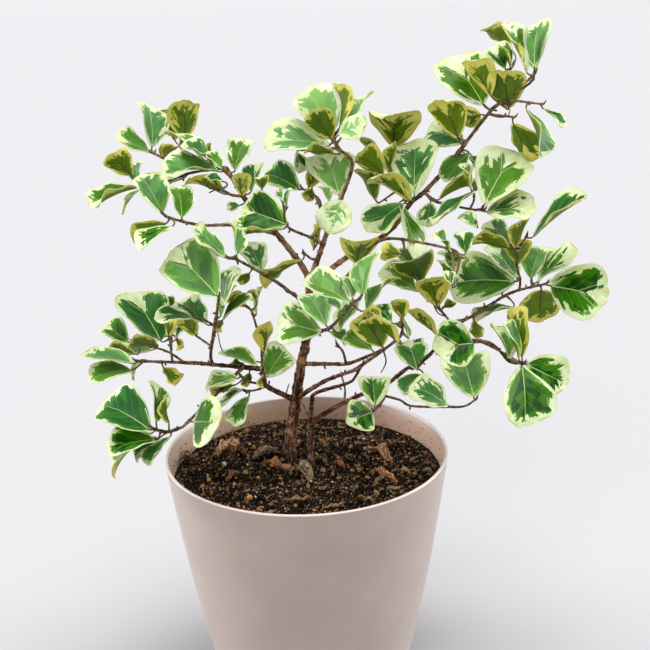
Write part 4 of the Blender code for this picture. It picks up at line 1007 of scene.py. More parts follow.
# Surfaces: (roughness, shine, inks), each ink in sRGB from 0 to 255
SURFACES = {
    "leaf_upper": (0.38, 0.17, {
        # pale is partly painted sunlight on lit leaves
        "dark": (8, 60, 0), "mid": (52, 112, 0), "grey": (106, 154, 50), "pale": (146, 200, 124),
        # cool is partly a painted bluish sheen
        "cool": (36, 98, 48), "warm": (78, 124, 0), "cream": (208, 220, 184), "yellow": (190, 200, 134),
        "rim": (182, 198, 138), "vein": (132, 180, 86), "rib": (184, 212, 134)}),
    # The under side: its own olive colours, partly made brighter and yellower as painted light shining
    # through the leaf
    "leaf_under_painted_backlight": (0.5, 0.17, {
        "dark": (62, 90, 0), "mid": (88, 120, 4), "grey": (120, 142, 40), "pale": (150, 164, 76),
        "cool": (72, 98, 32), "warm": (102, 120, 0), "cream": (206, 200, 104), "yellow": (194, 182, 68),
        "rim": (182, 170, 70), "vein": (128, 146, 50), "rib": (84, 58, 28)}),
    "stalk": (0.5, 0.5, {"green": (104, 108, 44), "brown": (92, 56, 30), "rib": (60, 34, 18)}),
    "bark": (0.7, 0.15, {
        "twig_dark": (60, 40, 28), "twig_green": (118, 102, 66), "dark": (34, 13, 6), "brown": (98, 60, 44),
        # foot is the ink of the bark that grows darker towards the soil
        "light": (188, 140, 104), "scar": (184, 154, 116), "foot": (34, 18, 10), "high": (126, 104, 72)}),
    "soil": (0.7, 0.1, {
        "dark": (5, 3, 2), "brown": (104, 68, 46), "light": (184, 148, 108), "tan": (224, 152, 80),
        "pale": (250, 232, 196)}),
    "wood_chips": (0.8, 0.5, {"plain": (156, 100, 54), "light": (206, 146, 84), "dark": (84, 52, 32)}),
    "pale_chips": (0.85, 0.5, {"plain": (132, 112, 84), "light": (176, 154, 116), "dark": (72, 56, 40)}),
    "dry_leaf": (0.7, 0.5, {"plain": (158, 114, 74), "light": (204, 162, 112), "dark": (88, 54, 34)}),
    # In pot_plastic, lip is a painted highlight and inside is painted light on the shaded inner wall
    "pot_plastic": (0.42, 0.9, {
        "taupe": (149, 132, 123), "light": (156, 139, 129), "inside": (184, 150, 125), "lip": (204, 191, 182),
        "dust": (104, 68, 46)}),
    "floor": (1.0, 0.0, {"pale": (176, 176, 179)})}
SURROUND_INKS = {"horizon": (241, 241, 244), "zenith": (158, 158, 162)}

# Noises: (scale, detail, roughness)
NOISES = {
    "leaf_ragged": (34.0, 3.0, 0.55), "leaf_cloud": (3.5, 3.0, 0.55), "stalk_streak": (1.6, 3.0, 0.55),
    "bark_streak": (0.45, 5.0, 0.7), "bark_patch": (0.16, 2.0, 0.55), "bark_fine": (1.1, 5.0, 0.7),
    "bark_scar": (0.55, 1.0, 0.55), "soil_grain": (900.0, 4.0, 0.7), "soil_cloud": (45.0, 2.0, 0.55),
    "litter_streak": (0.9, 3.0, 0.55), "pot_mottle": (22.0, 3.0, 0.55), "pot_fine": (1400.0, 2.0, 0.55),
    "pot_speck": (420.0, 3.0, 0.7)}


class Skin:
    """The points, faces and surface values of one piece, gathered before its mesh is made."""

    def __init__(self):
        self.points = []
        self.faces = []
        self.slots = []
        self.values = {"place": [], "traits": [], "margin": []}

    def add(self, points, faces, slots, place, traits=None, margin=None):
        """Adds points and faces, with one material slot or one for each face, and each point's values.

        A point's margin is its distance from its blade's outline, or its share of its tube's length.
        """
        first = len(self.points)
        self.points.extend(points)
        self.faces.extend([first + corner for corner in face] for face in faces)
        self.slots.extend([slots] * len(faces) if isinstance(slots, int) else slots)
        self.values["place"].extend(place)
        self.values["traits"].extend(traits or place)
        self.values["margin"].extend(margin or [1.0] * len(points))

    def piece(self, name, materials, replaced=None):
        """Makes the object of all that was added, with its slot and the frame's node that it replaces."""
        mesh = bpy.data.meshes.new(name)
        mesh.from_pydata(self.points, [], self.faces)
        for material in materials:
            mesh.materials.append(material)
        mesh.polygons.foreach_set("material_index", self.slots)
        for value, kind in (("place", "FLOAT_VECTOR"), ("traits", "FLOAT_VECTOR"), ("margin", "FLOAT")):
            attribute = mesh.attributes.new(value, kind, "POINT")
            numbers = np.array(self.values[value], np.float32).ravel()
            attribute.data.foreach_set("value" if kind == "FLOAT" else "vector", numbers)
        mesh.shade_smooth()
        mesh.set_sharp_from_angle(angle=math.radians(SHARP_FROM_DEG))
        mesh.update()
        thing = bpy.data.objects.new(name, mesh)
        bpy.context.scene.collection.objects.link(thing)
        if replaced:
            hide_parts(replaced)
        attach(thing, "root")


def circle(sides):
    """The cosine and sine at each corner of a circle."""
    angles = [math.tau * side / sides for side in range(sides)]
    return [(math.cos(angle), math.sin(angle)) for angle in angles]


def add_tube(skin, points, radii, sides, slot, relief=0.0, start_mm=0.0):
    """Adds a round tube that is closed at both ends.

    Its relief is a share of its radius, and start_mm says where it starts in the pattern of bark.
    """
    gone = lengths_along(points)
    ways = [(b - a).normalized() for a, b in zip([points[0]] + points, points[1:] + [points[-1]])]
    out = ways[0].orthogonal()
    ring = circle(sides)
    corners = []
    place = []
    for point, radius, way, run in zip(points, radii, ways, gone):
        out = (out - way * out.dot(way)).normalized()
        beside = way.cross(out)
        for x, y in ring:
            ray = out * x + beside * y
            at = point + ray * radius
            if relief:
                at += ray * (radius * relief * noise.noise(at / BARK_RELIEF_SIZE))
            corners.append(at)
            place.append((x * radius / MM, y * radius / MM, start_mm + run / MM))
    last = (len(points) - 1) * sides
    faces = []
    for corner in range(sides):
        beside = (corner + 1) % sides
        faces += [(a + corner, a + beside, a + beside + sides, a + corner + sides)
                  for a in range(0, last, sides)]
        faces += [(len(corners), beside, corner), (len(corners) + 1, last + corner, last + beside)]
    corners += [points[0], points[-1]]
    place += [(0, 0, start_mm), (0, 0, start_mm + gone[-1] / MM)]
    traits = [(radius / MM, 0, 0) for radius in radii for _ in ring]
    traits += [traits[0], traits[-1]]
    shares = [number / (len(points) - 1) for number in range(len(points)) for _ in ring] + [0, 1]
    skin.add(corners, faces, slot, place, traits, shares)


def turned_faces(rings, sides):
    """The faces of a turned body whose points are its first centre and then its rings, flat at its end."""
    last = 1 + (rings - 1) * sides
    faces = []
    for side in range(sides):
        beside = (side + 1) % sides
        faces.append((0, 1 + side, 1 + beside))
        faces += [(a + side, a + sides + side, a + sides + beside, a + beside) for a in range(1, last, sides)]
    return faces + [[last + side for side in range(sides - 1, -1, -1)]]


def sheet_faces(rows, columns):
    """The faces of a thin closed sheet: its upper side, its under side and its rim."""
    count = rows * columns
    upper = []
    for row in range(rows - 1):
        for a in range(row * columns, (row + 1) * columns - 1):
            upper.append((a, a + columns, a + 1 + columns, a + 1))
    under = [tuple(count + corner for corner in reversed(face)) for face in upper]
    ring = list(range(columns)) + [row * columns + columns - 1 for row in range(1, rows)]
    ring += [count - 1 - column for column in range(1, columns)]
    ring += [row * columns for row in range(rows - 2, 0, -1)]
    rim = [(a, b, count + b, count + a) for a, b in zip(ring, ring[1:] + ring[:1])]
    return upper, under, rim


def add_sheet(skin, upper, under, columns, slot, place):
    """Adds a thin closed sheet, from its rows of points on both sides."""
    upper_faces, under_faces, rim_faces = sheet_faces(len(upper) // columns, columns)
    skin.add(upper + under, upper_faces + under_faces + rim_faces, slot, place)


def colour(ink):
    """The linear colour of an sRGB one, given from 0 to 255."""
    shares = [part / 255 for part in ink]
    linear = [share / 12.92 if share <= 0.04045 else ((share + 0.055) / 1.055) ** 2.4 for share in shares]
    return (*linear, 1)


class Value:
    """What one socket of a shader gives, which can be reckoned with like a number."""

    def __init__(self, shade, socket):
        self.shade = shade
        self.socket = socket

    def __add__(self, other):
        return self.shade.math("ADD", self, other)

    def __sub__(self, other):
        return self.shade.math("SUBTRACT", self, other)

    def __mul__(self, other):
        return self.shade.math("MULTIPLY", self, other)

    def __abs__(self):
        return self.shade.math("ABSOLUTE", self)


class Shader:
    """The nodes of a material or of the surround, and the values that they make."""

    def __init__(self, owner, inks):
        owner.use_nodes = True
        self.owner = owner
        self.tree = owner.node_tree
        self.inks = inks

    def put(self, value, socket):
        """Sets a socket to a number or colour, or links it to what a value comes from."""
        if isinstance(value, Value):
            self.tree.links.new(value.socket, socket)
        else:
            socket.default_value = value

    def node(self, kind, result, inputs, **settings):
        """One result of a new node, made with its settings and inputs."""
        made = self.tree.nodes.new("ShaderNode" + kind)
        for name, setting in settings.items():
            setattr(made, name, setting)
        for name, value in inputs.items():
            self.put(value, made.inputs[name])
        return Value(self, made.outputs[result])

    def math(self, operation, *values):
        """The result of a sum on numbers."""
        return self.node("Math", 0, dict(enumerate(values)), operation=operation)

    def weigh(self, values, weights):
        """The sum of values, each times its weight."""
        first, *others = [value * weight for value, weight in zip(values, weights)]
        return sum(others, first)

    def ramp(self, value, start, end, full=1.0):
        """0 up to start, full from end on, and smooth between. The end may be the lower of the two."""
        inputs = {"Value": value, "From Min": start, "From Max": end, "To Max": full}
        return self.node("MapRange", "Result", inputs, interpolation_type="SMOOTHSTEP")

    def ink(self, name):
        """The colour of an ink, by its name. A colour that is a value already stays as it is."""
        return name if isinstance(name, Value) else colour(self.inks[name])

    def layers(self, first, *covers):
        """A colour with others laid over it, each given by the share that it covers and its ink."""
        skin = self.ink(first)
        for share, cover in covers:
            skin = self.node("Mix", 2, {"Factor": share, 6: skin, 7: self.ink(cover)}, data_type="RGBA")
        return skin

    def parts(self, vector):
        """The three numbers of a vector."""
        first = self.node("SeparateXYZ", 0, {0: vector})
        return [Value(self, socket) for socket in first.socket.node.outputs]

    def attribute(self, name):
        """The three numbers of a surface value of the piece."""
        return self.parts(self.node("Attribute", "Vector", {}, attribute_name=name))

    def coordinates(self, kind):
        """The coordinates of the place that is shaded."""
        return self.node("TexCoord", kind, {})

    def place(self, *numbers):
        """A place, from its three numbers."""
        return self.node("CombineXYZ", 0, dict(enumerate(numbers)))

    def noise(self, name, place):
        """Smooth noise from 0 to 1, at a place."""
        scale, detail, roughness = NOISES[name]
        inputs = {"Vector": place, "Scale": scale, "Detail": detail, "Roughness": roughness}
        return self.node("TexNoise", "Fac", inputs)

    def cells(self, place):
        """A chance number from 0 to 1, the same all over the cell that a place is in."""
        return self.parts(self.node("TexVoronoi", "Color", {"Vector": place, "Scale": 1.0}))[0]


class Surface(Shader):
    """A material of the table of surfaces."""

    def __init__(self, name):
        roughness, shine, inks = SURFACES[name]
        super().__init__(bpy.data.materials.new(name), inks)
        self.sockets = self.tree.nodes["Principled BSDF"].inputs
        self.put(roughness, self.sockets["Roughness"])
        self.put(shine, self.sockets["Specular IOR Level"])

    def bump(self, height, depth):
        """Raises the surface by a height from 0 to 1, to a depth in metres."""
        inputs = {"Strength": 1.0, "Distance": depth, "Height": height}
        self.put(self.node("Bump", "Normal", inputs), self.sockets["Normal"])

    def paint(self, first, *covers):
        """Sets the surface's colour, layer on layer, and gives back the material."""
        self.put(self.layers(first, *covers), self.sockets["Base Color"])
        return self.owner


def leaf_material(name):
    """A variegated leaf: green blocks between its veins, a cream margin, and a wedge of cream at its fork."""
    shade = Surface(name)
    share, across, seed = shade.attribute("place")
    cream_width, wedge_at, pale = shade.attribute("traits")
    margin = shade.attribute("margin")[0]
    away = abs(across)
    flank = shade.math("SIGN", across)
    vein = share - away * VEIN_RAKE + flank * VEIN_STAGGER

    own = seed * SEED_SPREAD + flank * FLANK_SPREAD
    block = shade.cells(shade.place(vein * BLOCKS[0], away * BLOCKS[1], own))
    small_block = shade.cells(shade.place(vein * SMALL_BLOCKS[0], away * SMALL_BLOCKS[1], own))
    tone_block = shade.cells(shade.place(vein * TONE_BLOCKS[0], away * TONE_BLOCKS[1], own + TONE_APART))
    ragged = shade.noise("leaf_ragged", shade.place(share, across * RAGGED_STRETCH, seed))
    cloud = shade.noise("leaf_cloud", shade.place(share, across, seed))

    jitter = shade.weigh((block * block, small_block, ragged), JITTER_WEIGHTS) + LEAST_JITTER
    past_margin = margin - cream_width * (share * MARGIN_GROWTH + MARGIN_AT_STALK) * jitter
    past_wedge = share - away * FORK_SPREAD + jitter * WEDGE_JITTER - WEDGE_SET_BACK - wedge_at
    cream = shade.math("MAXIMUM", shade.ramp(past_margin, *MARGIN_EDGE), shade.ramp(past_wedge, *WEDGE_EDGE))
    yellow = shade.ramp(cloud + ragged * YELLOW_RAGGED, *YELLOW_CLOUDS)
    cream_skin = shade.layers("cream", (yellow, "yellow"))

    near_margin = shade.ramp(past_margin, *GREY_REACH)
    greyness = shade.weigh((tone_block, near_margin, ragged), GREY_WEIGHTS)
    hue = shade.math("FRACT", seed * HUE_SPREAD)
    green = shade.layers("dark", (shade.ramp(greyness + cloud, *MID_GREENS), "mid"),
                         # pale: partly random tone, partly painted sunlight on lit leaves
                         (shade.ramp(greyness + pale, *GREY_GREENS), "grey"), (pale, "pale"),
                         # the cool tint: partly random tone, partly a painted bluish sheen
                         (shade.ramp(hue, *COOL_HUES_AND_SHEEN), "cool"), (shade.ramp(hue, *WARM_HUES), "warm"))

    turn = abs(shade.math("FRACT", vein * VEINS) - 0.5)
    side_veins = shade.ramp(turn, *VEIN_LINE) * shade.ramp(away, *VEIN_FADE)
    past_fork = share - shade.math("MINIMUM", wedge_at - FORK_BELOW_WEDGE, HIGHEST_FORK)
    rib_width = share * (RIB_WIDTHS[1] - RIB_WIDTHS[0]) + RIB_WIDTHS[0]
    midrib = shade.ramp(away, rib_width, rib_width * RIB_CORE) * shade.ramp(past_fork, *RIB_END)
    forks = shade.ramp(abs(past_fork * (1.0 / FORK_SPREAD) - away), *FORK_LINE)
    forks = forks * shade.ramp(share, *FORK_END) * shade.ramp(past_fork, *FORK_START)
    ribs = shade.math("MAXIMUM", midrib * (share * -RIB_FADE + 1.0), forks)

    shade.bump(shade.weigh((side_veins, ribs, ragged, cream), LEAF_RELIEF_WEIGHTS), LEAF_RELIEF)
    return shade.paint(green, (cream, cream_skin), (shade.ramp(margin, *RIM_BAND), "rim"),
                       (side_veins * (cream * -VEIN_LOST_IN_CREAM + 1.0), "vein"), (ribs, "rib"))


def stalk_material():
    """A leaf's stalk, brown at the twig and dark brown along the rib under the blade."""
    shade = Surface("stalk")
    share = shade.attribute("margin")[0]
    x, y, z = shade.attribute("place")
    streak = shade.noise("stalk_streak", shade.place(x, y, z * STALK_STRETCH))
    shade.bump(streak, STALK_RELIEF)
    return shade.paint("green", (shade.ramp(streak, *STALK_BROWN), "brown"),
                       (shade.ramp(share, *RIB_BROWN), "rib"))


def bark_material():
    """Bark: greenish brown on thin twigs, brown and cracked on the stems, with pale scars."""
    shade = Surface("bark")
    thick = shade.attribute("traits")[0]
    height = shade.parts(shade.coordinates("Object"))[2]
    x, y, z = shade.attribute("place")
    streak = shade.noise("bark_streak", shade.place(x, y, z * STREAK_STRETCH))
    patch = shade.noise("bark_patch", shade.place(x, y, z))
    fine = shade.noise("bark_fine", shade.place(x, y, z * FINE_STRETCH))
    scar = shade.ramp(shade.noise("bark_scar", shade.place(x, y, z * SCAR_STRETCH)), *SCARS)
    # darker towards the soil
    foot = shade.ramp(height + streak * -FOOT_RAGGED, *FOOT_DARKENING)
    aloft = shade.ramp(height, *HIGH_BARK) * shade.ramp(patch, *HIGH_PATCHES)
    ridge = shade.ramp(shade.weigh((patch, fine, streak), RIDGE_WEIGHTS), *RIDGES)
    twig = shade.layers("twig_dark", (shade.ramp(fine + patch, *TWIG_GREENS), "twig_green"))
    wood = shade.layers("dark", (shade.ramp(streak, *BROWN_STREAKS), "brown"), (aloft, "high"),
                        (ridge, "light"))
    woody = shade.ramp(thick + patch * WOOD_RAGGED_MM, *WOOD_FROM_MM)
    shade.bump(shade.weigh((streak, fine), BARK_RELIEF_WEIGHTS), BARK_RELIEF)
    return shade.paint(twig, (woody, wood), (scar, "scar"), (foot, "foot"))


def soil_material():
    """Moist potting mix: nearly black, with brown crumbs, tan grains and a few pale ones."""
    shade = Surface("soil")
    tint = shade.attribute("place")[0]
    spot = shade.coordinates("Object")
    grain = shade.noise("soil_grain", spot)
    cloud = shade.noise("soil_cloud", spot)
    shade.bump(grain, SOIL_RELIEF)
    return shade.paint("dark", (shade.ramp(tint + cloud * CLOUD_TINT, *BROWN_CRUMBS), "brown"),
                       (shade.ramp(grain + tint * GRAIN_TINT, *LIGHT_GRAINS), "light"),
                       (shade.ramp(tint, *TAN_GRAINS), "tan"), (shade.ramp(tint, *PALE_GRAINS), "pale"))


def litter_material(name):
    """Dry bits on the soil: each has its own tint between two inks, with darker streaks."""
    shade = Surface(name)
    spot = shade.attribute("place")
    stretched = shade.place(*(number * stretch for number, stretch in zip(spot, LITTER_STRETCH)))
    streak = shade.noise("litter_streak", stretched)
    shade.bump(streak, LITTER_RELIEF)
    return shade.paint("plain", (spot[2], "light"), (shade.ramp(streak, *LITTER_STREAKS), "dark"))


def pot_material():
    """Matte taupe plastic, faintly mottled, paler on its lip as a painted highlight, lighter on the inner
    wall as painted light, with a little soil dust on the inner wall.
    """
    shade = Surface("pot_plastic")
    shade.put(POT_SHEEN, shade.sockets["Sheen Weight"])
    spot = shade.coordinates("Object")
    mottle = shade.noise("pot_mottle", spot)
    fine = shade.noise("pot_fine", spot)
    speck = shade.ramp(shade.noise("pot_speck", spot), *DUST_SPECKS)
    inside, height = shade.attribute("place")[:2]
    shade.bump(shade.weigh((fine, mottle), POT_RELIEF_WEIGHTS), POT_RELIEF)
    return shade.paint("taupe", (shade.ramp(mottle, *MOTTLES), "light"),
                       # the inside ink: painted light on the shaded inner wall
                       (inside * shade.ramp(height, *INSIDE_PAINTED_LIGHT), "inside"),
                       # the lip ink: a painted highlight
                       (shade.ramp(height, *LIP_PAINTED_HIGHLIGHT), "lip"),
                       (speck * inside * shade.ramp(height, *DUST_REACH), "dust"))


def fine_width(share, fullness):
    """A blade's half width at a share of its length, smoothly as the frame's leaves have it."""
    reach = np.minimum(share / WIDEST_AT, 1) ** fullness
    growing = STALK_WIDTH + (1 - STALK_WIDTH) * np.sin(math.pi / 2 * reach)
    toward_end = np.maximum(share - WIDEST_AT, 0) / (1 - WIDEST_AT)
    return growing - (1 - END_WIDTH) * (1 - np.sqrt(1 - toward_end ** 2))


ROW_SHARES = np.linspace(0, 1, FINE_ROWS + 1)[:, None]
COLUMN_SIDES = np.array([-side for side in FINE_SIDES[:0:-1]] + list(FINE_SIDES))[None, :]
UPPER_FACES, UNDER_FACES, RIM_FACES = sheet_faces(ROW_SHARES.size, COLUMN_SIDES.size)


class LeafLook:
    """The chance traits that make one leaf unlike the next."""

    def __init__(self, chance, is_under, creaminess):
        self.half = fine_width(ROW_SHARES, chance.uniform(*FULLNESS)) * COLUMN_SIDES
        self.skew = chance.uniform(*SKEW)
        self.notch = chance.choice(NOTCHES)
        self.wave = chance.uniform(*WAVE_MM) * MM
        self.wave_count = chance.uniform(*WAVE_COUNT)
        self.wave_starts = (chance.random(), chance.random())
        self.curl = chance.uniform(*CURL)
        self.cup = chance.uniform(*CUP)
        self.seed = chance.random()
        self.cream_width = chance.choice(CREAM_WIDTHS) * (UNDER_CREAM if is_under else creaminess)
        self.wedge_at = chance.choice([chance.uniform(*place) for place in WEDGE_PLACES] + [NO_WEDGE] * 3)
        # paleness: partly random tone, partly painted sunlight
        self.pale = chance.choice(PALENESS_AND_PAINTED_SUN)
        if not is_under:
            self.pale += (creaminess - 1.0) * CREAMY_PALENESS
        self.tuck = math.tan(chance.choice(TUCKS))


def blade_flat(leaf, look):
    """A blade's points laid flat: how far each is out from the midrib, and along it."""
    out = look.half * leaf.width / 2
    notch = look.notch * np.exp(-(COLUMN_SIDES / NOTCH_WIDTH) ** 2) * ROW_SHARES ** 8
    end = -END_CURVE * COLUMN_SIDES ** 2 * ROW_SHARES ** 4
    along = (ROW_SHARES + end + look.skew * COLUMN_SIDES * ROW_SHARES ** 3 - notch) * leaf.length
    return out, along


def blade_rise(leaf, look, out):
    """How far each point of a blade stands up from its flat shape: fold, arch, waves, curl, cup and veins."""
    rise = (np.sqrt(out ** 2 + CREASE_ROUND ** 2) - CREASE_ROUND) * (math.tan(leaf.fold) + look.tuck)
    rise = rise + leaf.arch * leaf.length * 4 * ROW_SHARES * (1 - ROW_SHARES)
    away = np.abs(COLUMN_SIDES)
    starts = np.where(COLUMN_SIDES < 0, look.wave_starts[0], look.wave_starts[1])
    wave = np.sin(math.tau * (look.wave_count * ROW_SHARES + starts))
    rise = rise + look.wave * wave * away ** 2 * np.sqrt(ROW_SHARES)
    rise = rise - look.curl * leaf.length * np.maximum(ROW_SHARES - 0.5, 0) ** 2 * 4
    rise = rise + look.cup * leaf.length * look.half ** 2
    vein = ROW_SHARES - VEIN_RAKE * np.abs(look.half) + VEIN_STAGGER * np.sign(COLUMN_SIDES)
    return rise + PUFF * np.cos(math.tau * VEINS * vein) * np.minimum(away * 4, 1) * (1 - away ** 3)


def margin_distance(out, along):
    """How far each flat point of a blade lies from the blade's outline."""
    flat = np.stack([out, along], axis=-1)
    outline = np.concatenate([flat[:, 0], flat[-1, 1:-1], flat[::-1, -1]])
    start = outline[:-1]
    run = outline[1:] - start
    apart = flat[:, :, None] - start
    share = np.clip((apart * run).sum(-1) / (run ** 2).sum(-1), 0, 1)
    return np.linalg.norm(apart - share[..., None] * run, axis=-1).min(axis=-1)


def add_blade(skin, leaf, look):
    """Adds a leaf's blade, and gives back its middle surface and normals."""
    out, along = blade_flat(leaf, look)
    rise = blade_rise(leaf, look, out)
    axes = np.array([leaf.across, leaf.tip_way, leaf.normal])
    middle = np.array(leaf.base) + np.stack([out, along, rise], axis=-1) @ axes
    normals = np.cross(np.gradient(middle, axis=0), np.gradient(middle, axis=1))
    normals /= np.linalg.norm(normals, axis=-1, keepdims=True)
    margin = margin_distance(out, along) / leaf.length
    inside = np.clip(margin / EDGE_TAPER, 0, 1)[..., None]
    half = EDGE_HALF_THICKNESS + (MID_HALF_THICKNESS - EDGE_HALF_THICKNESS) * inside
    points = np.stack([middle + normals * half, middle - normals * half]).reshape(-1, 3)
    place = np.stack(np.broadcast_arrays(ROW_SHARES, look.half, look.seed), axis=-1).reshape(-1, 3)
    traits = [(look.cream_width, look.wedge_at, look.pale)] * len(points)
    slots = [TOP_SLOT] * len(UPPER_FACES) + [BACK_SLOT] * len(UNDER_FACES) + [TOP_SLOT] * len(RIM_FACES)
    skin.add(points.tolist(), UPPER_FACES + UNDER_FACES + RIM_FACES, slots, place.tolist() * 2, traits,
             margin.ravel().tolist() * 2)
    return middle, normals


def rib_line(middle, normals):
    """Points along the rib under a blade."""
    column = len(FINE_SIDES) - 1
    points = []
    for share in RIB_SHARES:
        row = share * FINE_ROWS
        low = int(row)
        at = middle[low, column] + (middle[low + 1, column] - middle[low, column]) * (row - low)
        points.append(Vector(at - normals[low, column] * MID_HALF_THICKNESS))
    return points


def add_stalk(skin, leaf, rib):
    """Adds a leaf's stalk and the rib under its blade, thinning towards the far end."""
    bend = leaf.base - leaf.tip_way * ((leaf.base - leaf.root).length * STALK_BEND)
    points = []
    for step in range(STALK_STEPS):
        t = step / STALK_STEPS
        points.append(leaf.root * (1 - t) ** 2 + bend * (2 * t * (1 - t)) + leaf.base * t ** 2)
    points += rib
    radii = []
    for number in range(len(points)):
        share = number / (len(points) - 1)
        radii.append(STALK_RADIUS * (1 - share) + RIB_END_RADIUS * share)
    radii[0] *= STALK_FOOT_SWELL
    radii[1] *= (1 + STALK_FOOT_SWELL) / 2
    add_tube(skin, points, radii, STALK_SIDES, STALK_SLOT)


def knots(chance, length, marks):
    """Distances along a twig at which it is knotty: at each mark, and here and there between them."""
    places = list(marks)
    at = chance.uniform(*KNOT_EVERY)
    while at < length:
        places.append(at)
        at += chance.uniform(*KNOT_EVERY)
    return places


def branch_radii(gone, widths, places):
    """A branch's radius at each distance along it, with its knots and its wider foot."""
    radii = []
    for run in gone:
        radius = (widths[0] + (widths[1] - widths[0]) * run / gone[-1]) * MM / 2
        swell = sum(math.exp(-((run - place) / KNOT_REACH) ** 2) for place in places)
        flare = FORK_FLARE * math.exp(-run / FORK_REACH)
        radii.append(radius * (1 + KNOT_SWELL * min(swell, MOST_KNOTS) + flare))
    return radii


def add_branch(skin, name, points, marks, slot, chance):
    """Adds a branch's wood, with a bud at its end where no other branch goes on from there."""
    widths = BRANCHES[name][2]
    gone = lengths_along(points)
    radii = branch_radii(gone, widths, knots(chance, gone[-1], marks))
    way = (points[-1] - points[-2]).normalized()
    if name in CARRIES_ON:
        points = points + [points[-1] + way * (radii[-1] * BLUNT_END[0])]
        radii = radii + [radii[-1] * BLUNT_END[1]]
    else:
        points = points + [points[-1] + (way + BUD_LIFT * number).normalized() * out
                           for number, (out, _) in enumerate(BUD_POINTS)]
        radii = radii + [radii[-1] * swell for _, swell in BUD_POINTS]
    is_stem = widths[0] * MM > STEM_FROM
    add_tube(skin, points, radii, STEM_SIDES if is_stem else TWIG_SIDES, slot,
             STEM_ROUGH if is_stem else TWIG_ROUGH, BRANCH_NUMBER[name] * BARK_APART_MM)


def add_fine_twigs(skin, name, path, slot):
    """Adds the bare fine twigs that a branch carries."""
    wide, slim = (width * MM / 2 for width in FINE_TWIG_WIDTHS)
    for carrier, further, pixels in FINE_TWIGS:
        if carrier != name:
            continue
        start = nearest_on_path(path, *pixels[0])[0]
        points = smooth_path(branch_path(pixels, start, start.y + further * MM), TWIG_STEP)
        last = len(points) - 1
        radii = [wide + (slim - wide) * number / last for number in range(last + 1)]
        add_tube(skin, points, radii, STALK_SIDES, slot, STUB_ROUGH)


def add_stubs(skin, points, radius, slot, chance):
    """Adds the stubs of fallen leaves and twigs along a branch."""
    gone = lengths_along(points)
    at = chance.uniform(*STUB_EVERY)
    while at < gone[-1]:
        root = point_along(points, at)
        way = (point_along(points, at + TWIG_STEP) - root).normalized()
        out = Quaternion(way, chance.uniform(0, math.tau)) @ way.orthogonal().normalized()
        reach = radius + chance.uniform(*STUB_LENGTH)
        lean = (out + way * chance.uniform(*STUB_LEAN)).normalized()
        ends = [root + lean * (reach * share) for share, _ in STUB_POINTS]
        add_tube(skin, ends, [STUB_RADIUS * swell for _, swell in STUB_POINTS], STUB_SIDES, slot, STUB_ROUGH,
                 at / MM)
        at += chance.uniform(*STUB_EVERY)


def branch_points(name, path):
    """A branch's points along a smooth curve, from below the soil upwards if it is a trunk."""
    if BRANCHES[name][1] is None:
        below = path[0] - Vector((0, 0, STEM_BELOW_SOIL))
        path = [below, path[0] + Vector((0, 0, STEM_UPRIGHT))] + path[1:]
    return smooth_path(path, TWIG_STEP)


def make_growth(node, paths, leaves, materials):
    """A stem or a leafy spray, as one piece in place of the frame's. Its bark is its last material."""
    names = [name for name in BRANCHES if BRANCHES[name][0] == node]
    chance = random.Random(SEED + BRANCH_NUMBER[names[0]])
    bark = len(materials) - 1
    skin = Skin()
    for name in names:
        points = branch_points(name, paths[name])
        gone = lengths_along(points)
        marks = []
        for leaf, row in zip(leaves.get(name, []), LEAVES.get(name, [])):
            look = LeafLook(chance, row[-1] == UNDER, CREAMIER.get(name, 1.0))
            add_stalk(skin, leaf, rib_line(*add_blade(skin, leaf, look)))
            nearest = min(range(len(points)), key=lambda number: (points[number] - leaf.root).length)
            marks.append(gone[nearest])
        add_branch(skin, name, points, marks, bark, chance)
        add_fine_twigs(skin, name, paths[name], bark)
        if BRANCHES[name][1] is None:
            points = [point for point in points if point.z > SOIL_HEIGHT + STEM_UPRIGHT]
        add_stubs(skin, points, BRANCHES[name][2][1] * MM / 2, bark, chance)
    skin.piece("fine_" + node, materials, node)


def fine_soil_height(x, y):
    """The soil's height with its clods, which die out at the pot's wall."""
    height = soil_surface(x, y)
    inner = pot_radius(height) - WALL - GAP
    fade = max(0.0, 1 - (math.hypot(x, y) / inner) ** SOIL_FADE_POWER)
    for size, depth in CLODS:
        height += depth * fade * noise.noise(Vector((x, y, size)) / size)
    return height


def make_soil_bed(material):
    """The bed of soil: a closed body that fills the pot, with a cloddy top."""
    points = [(0, 0, fine_soil_height(0, 0))]
    rings = [(SOIL_RADIUS * (ring + 1) / SOIL_FINE_RINGS, None) for ring in range(SOIL_FINE_RINGS)]
    for ring in range(1, SOIL_WALL_STEPS + 1):
        share = ring / SOIL_WALL_STEPS
        height = SOIL_HEIGHT * (1 - share) + (FLOOR_THICKNESS + GAP) * share
        rings.append((pot_radius(height) - WALL - GAP, height))
    for radius, height in rings:
        for across, up in circle(SOIL_FINE_SIDES):
            x, y = radius * across, radius * up
            points.append((x, y, fine_soil_height(x, y) if height is None else height))
    skin = Skin()
    skin.add(points, turned_faces(len(rings), SOIL_FINE_SIDES), 0, [(BED_TINT, 0, 0)] * len(points))
    skin.piece("soil_bed", [material], "soil")


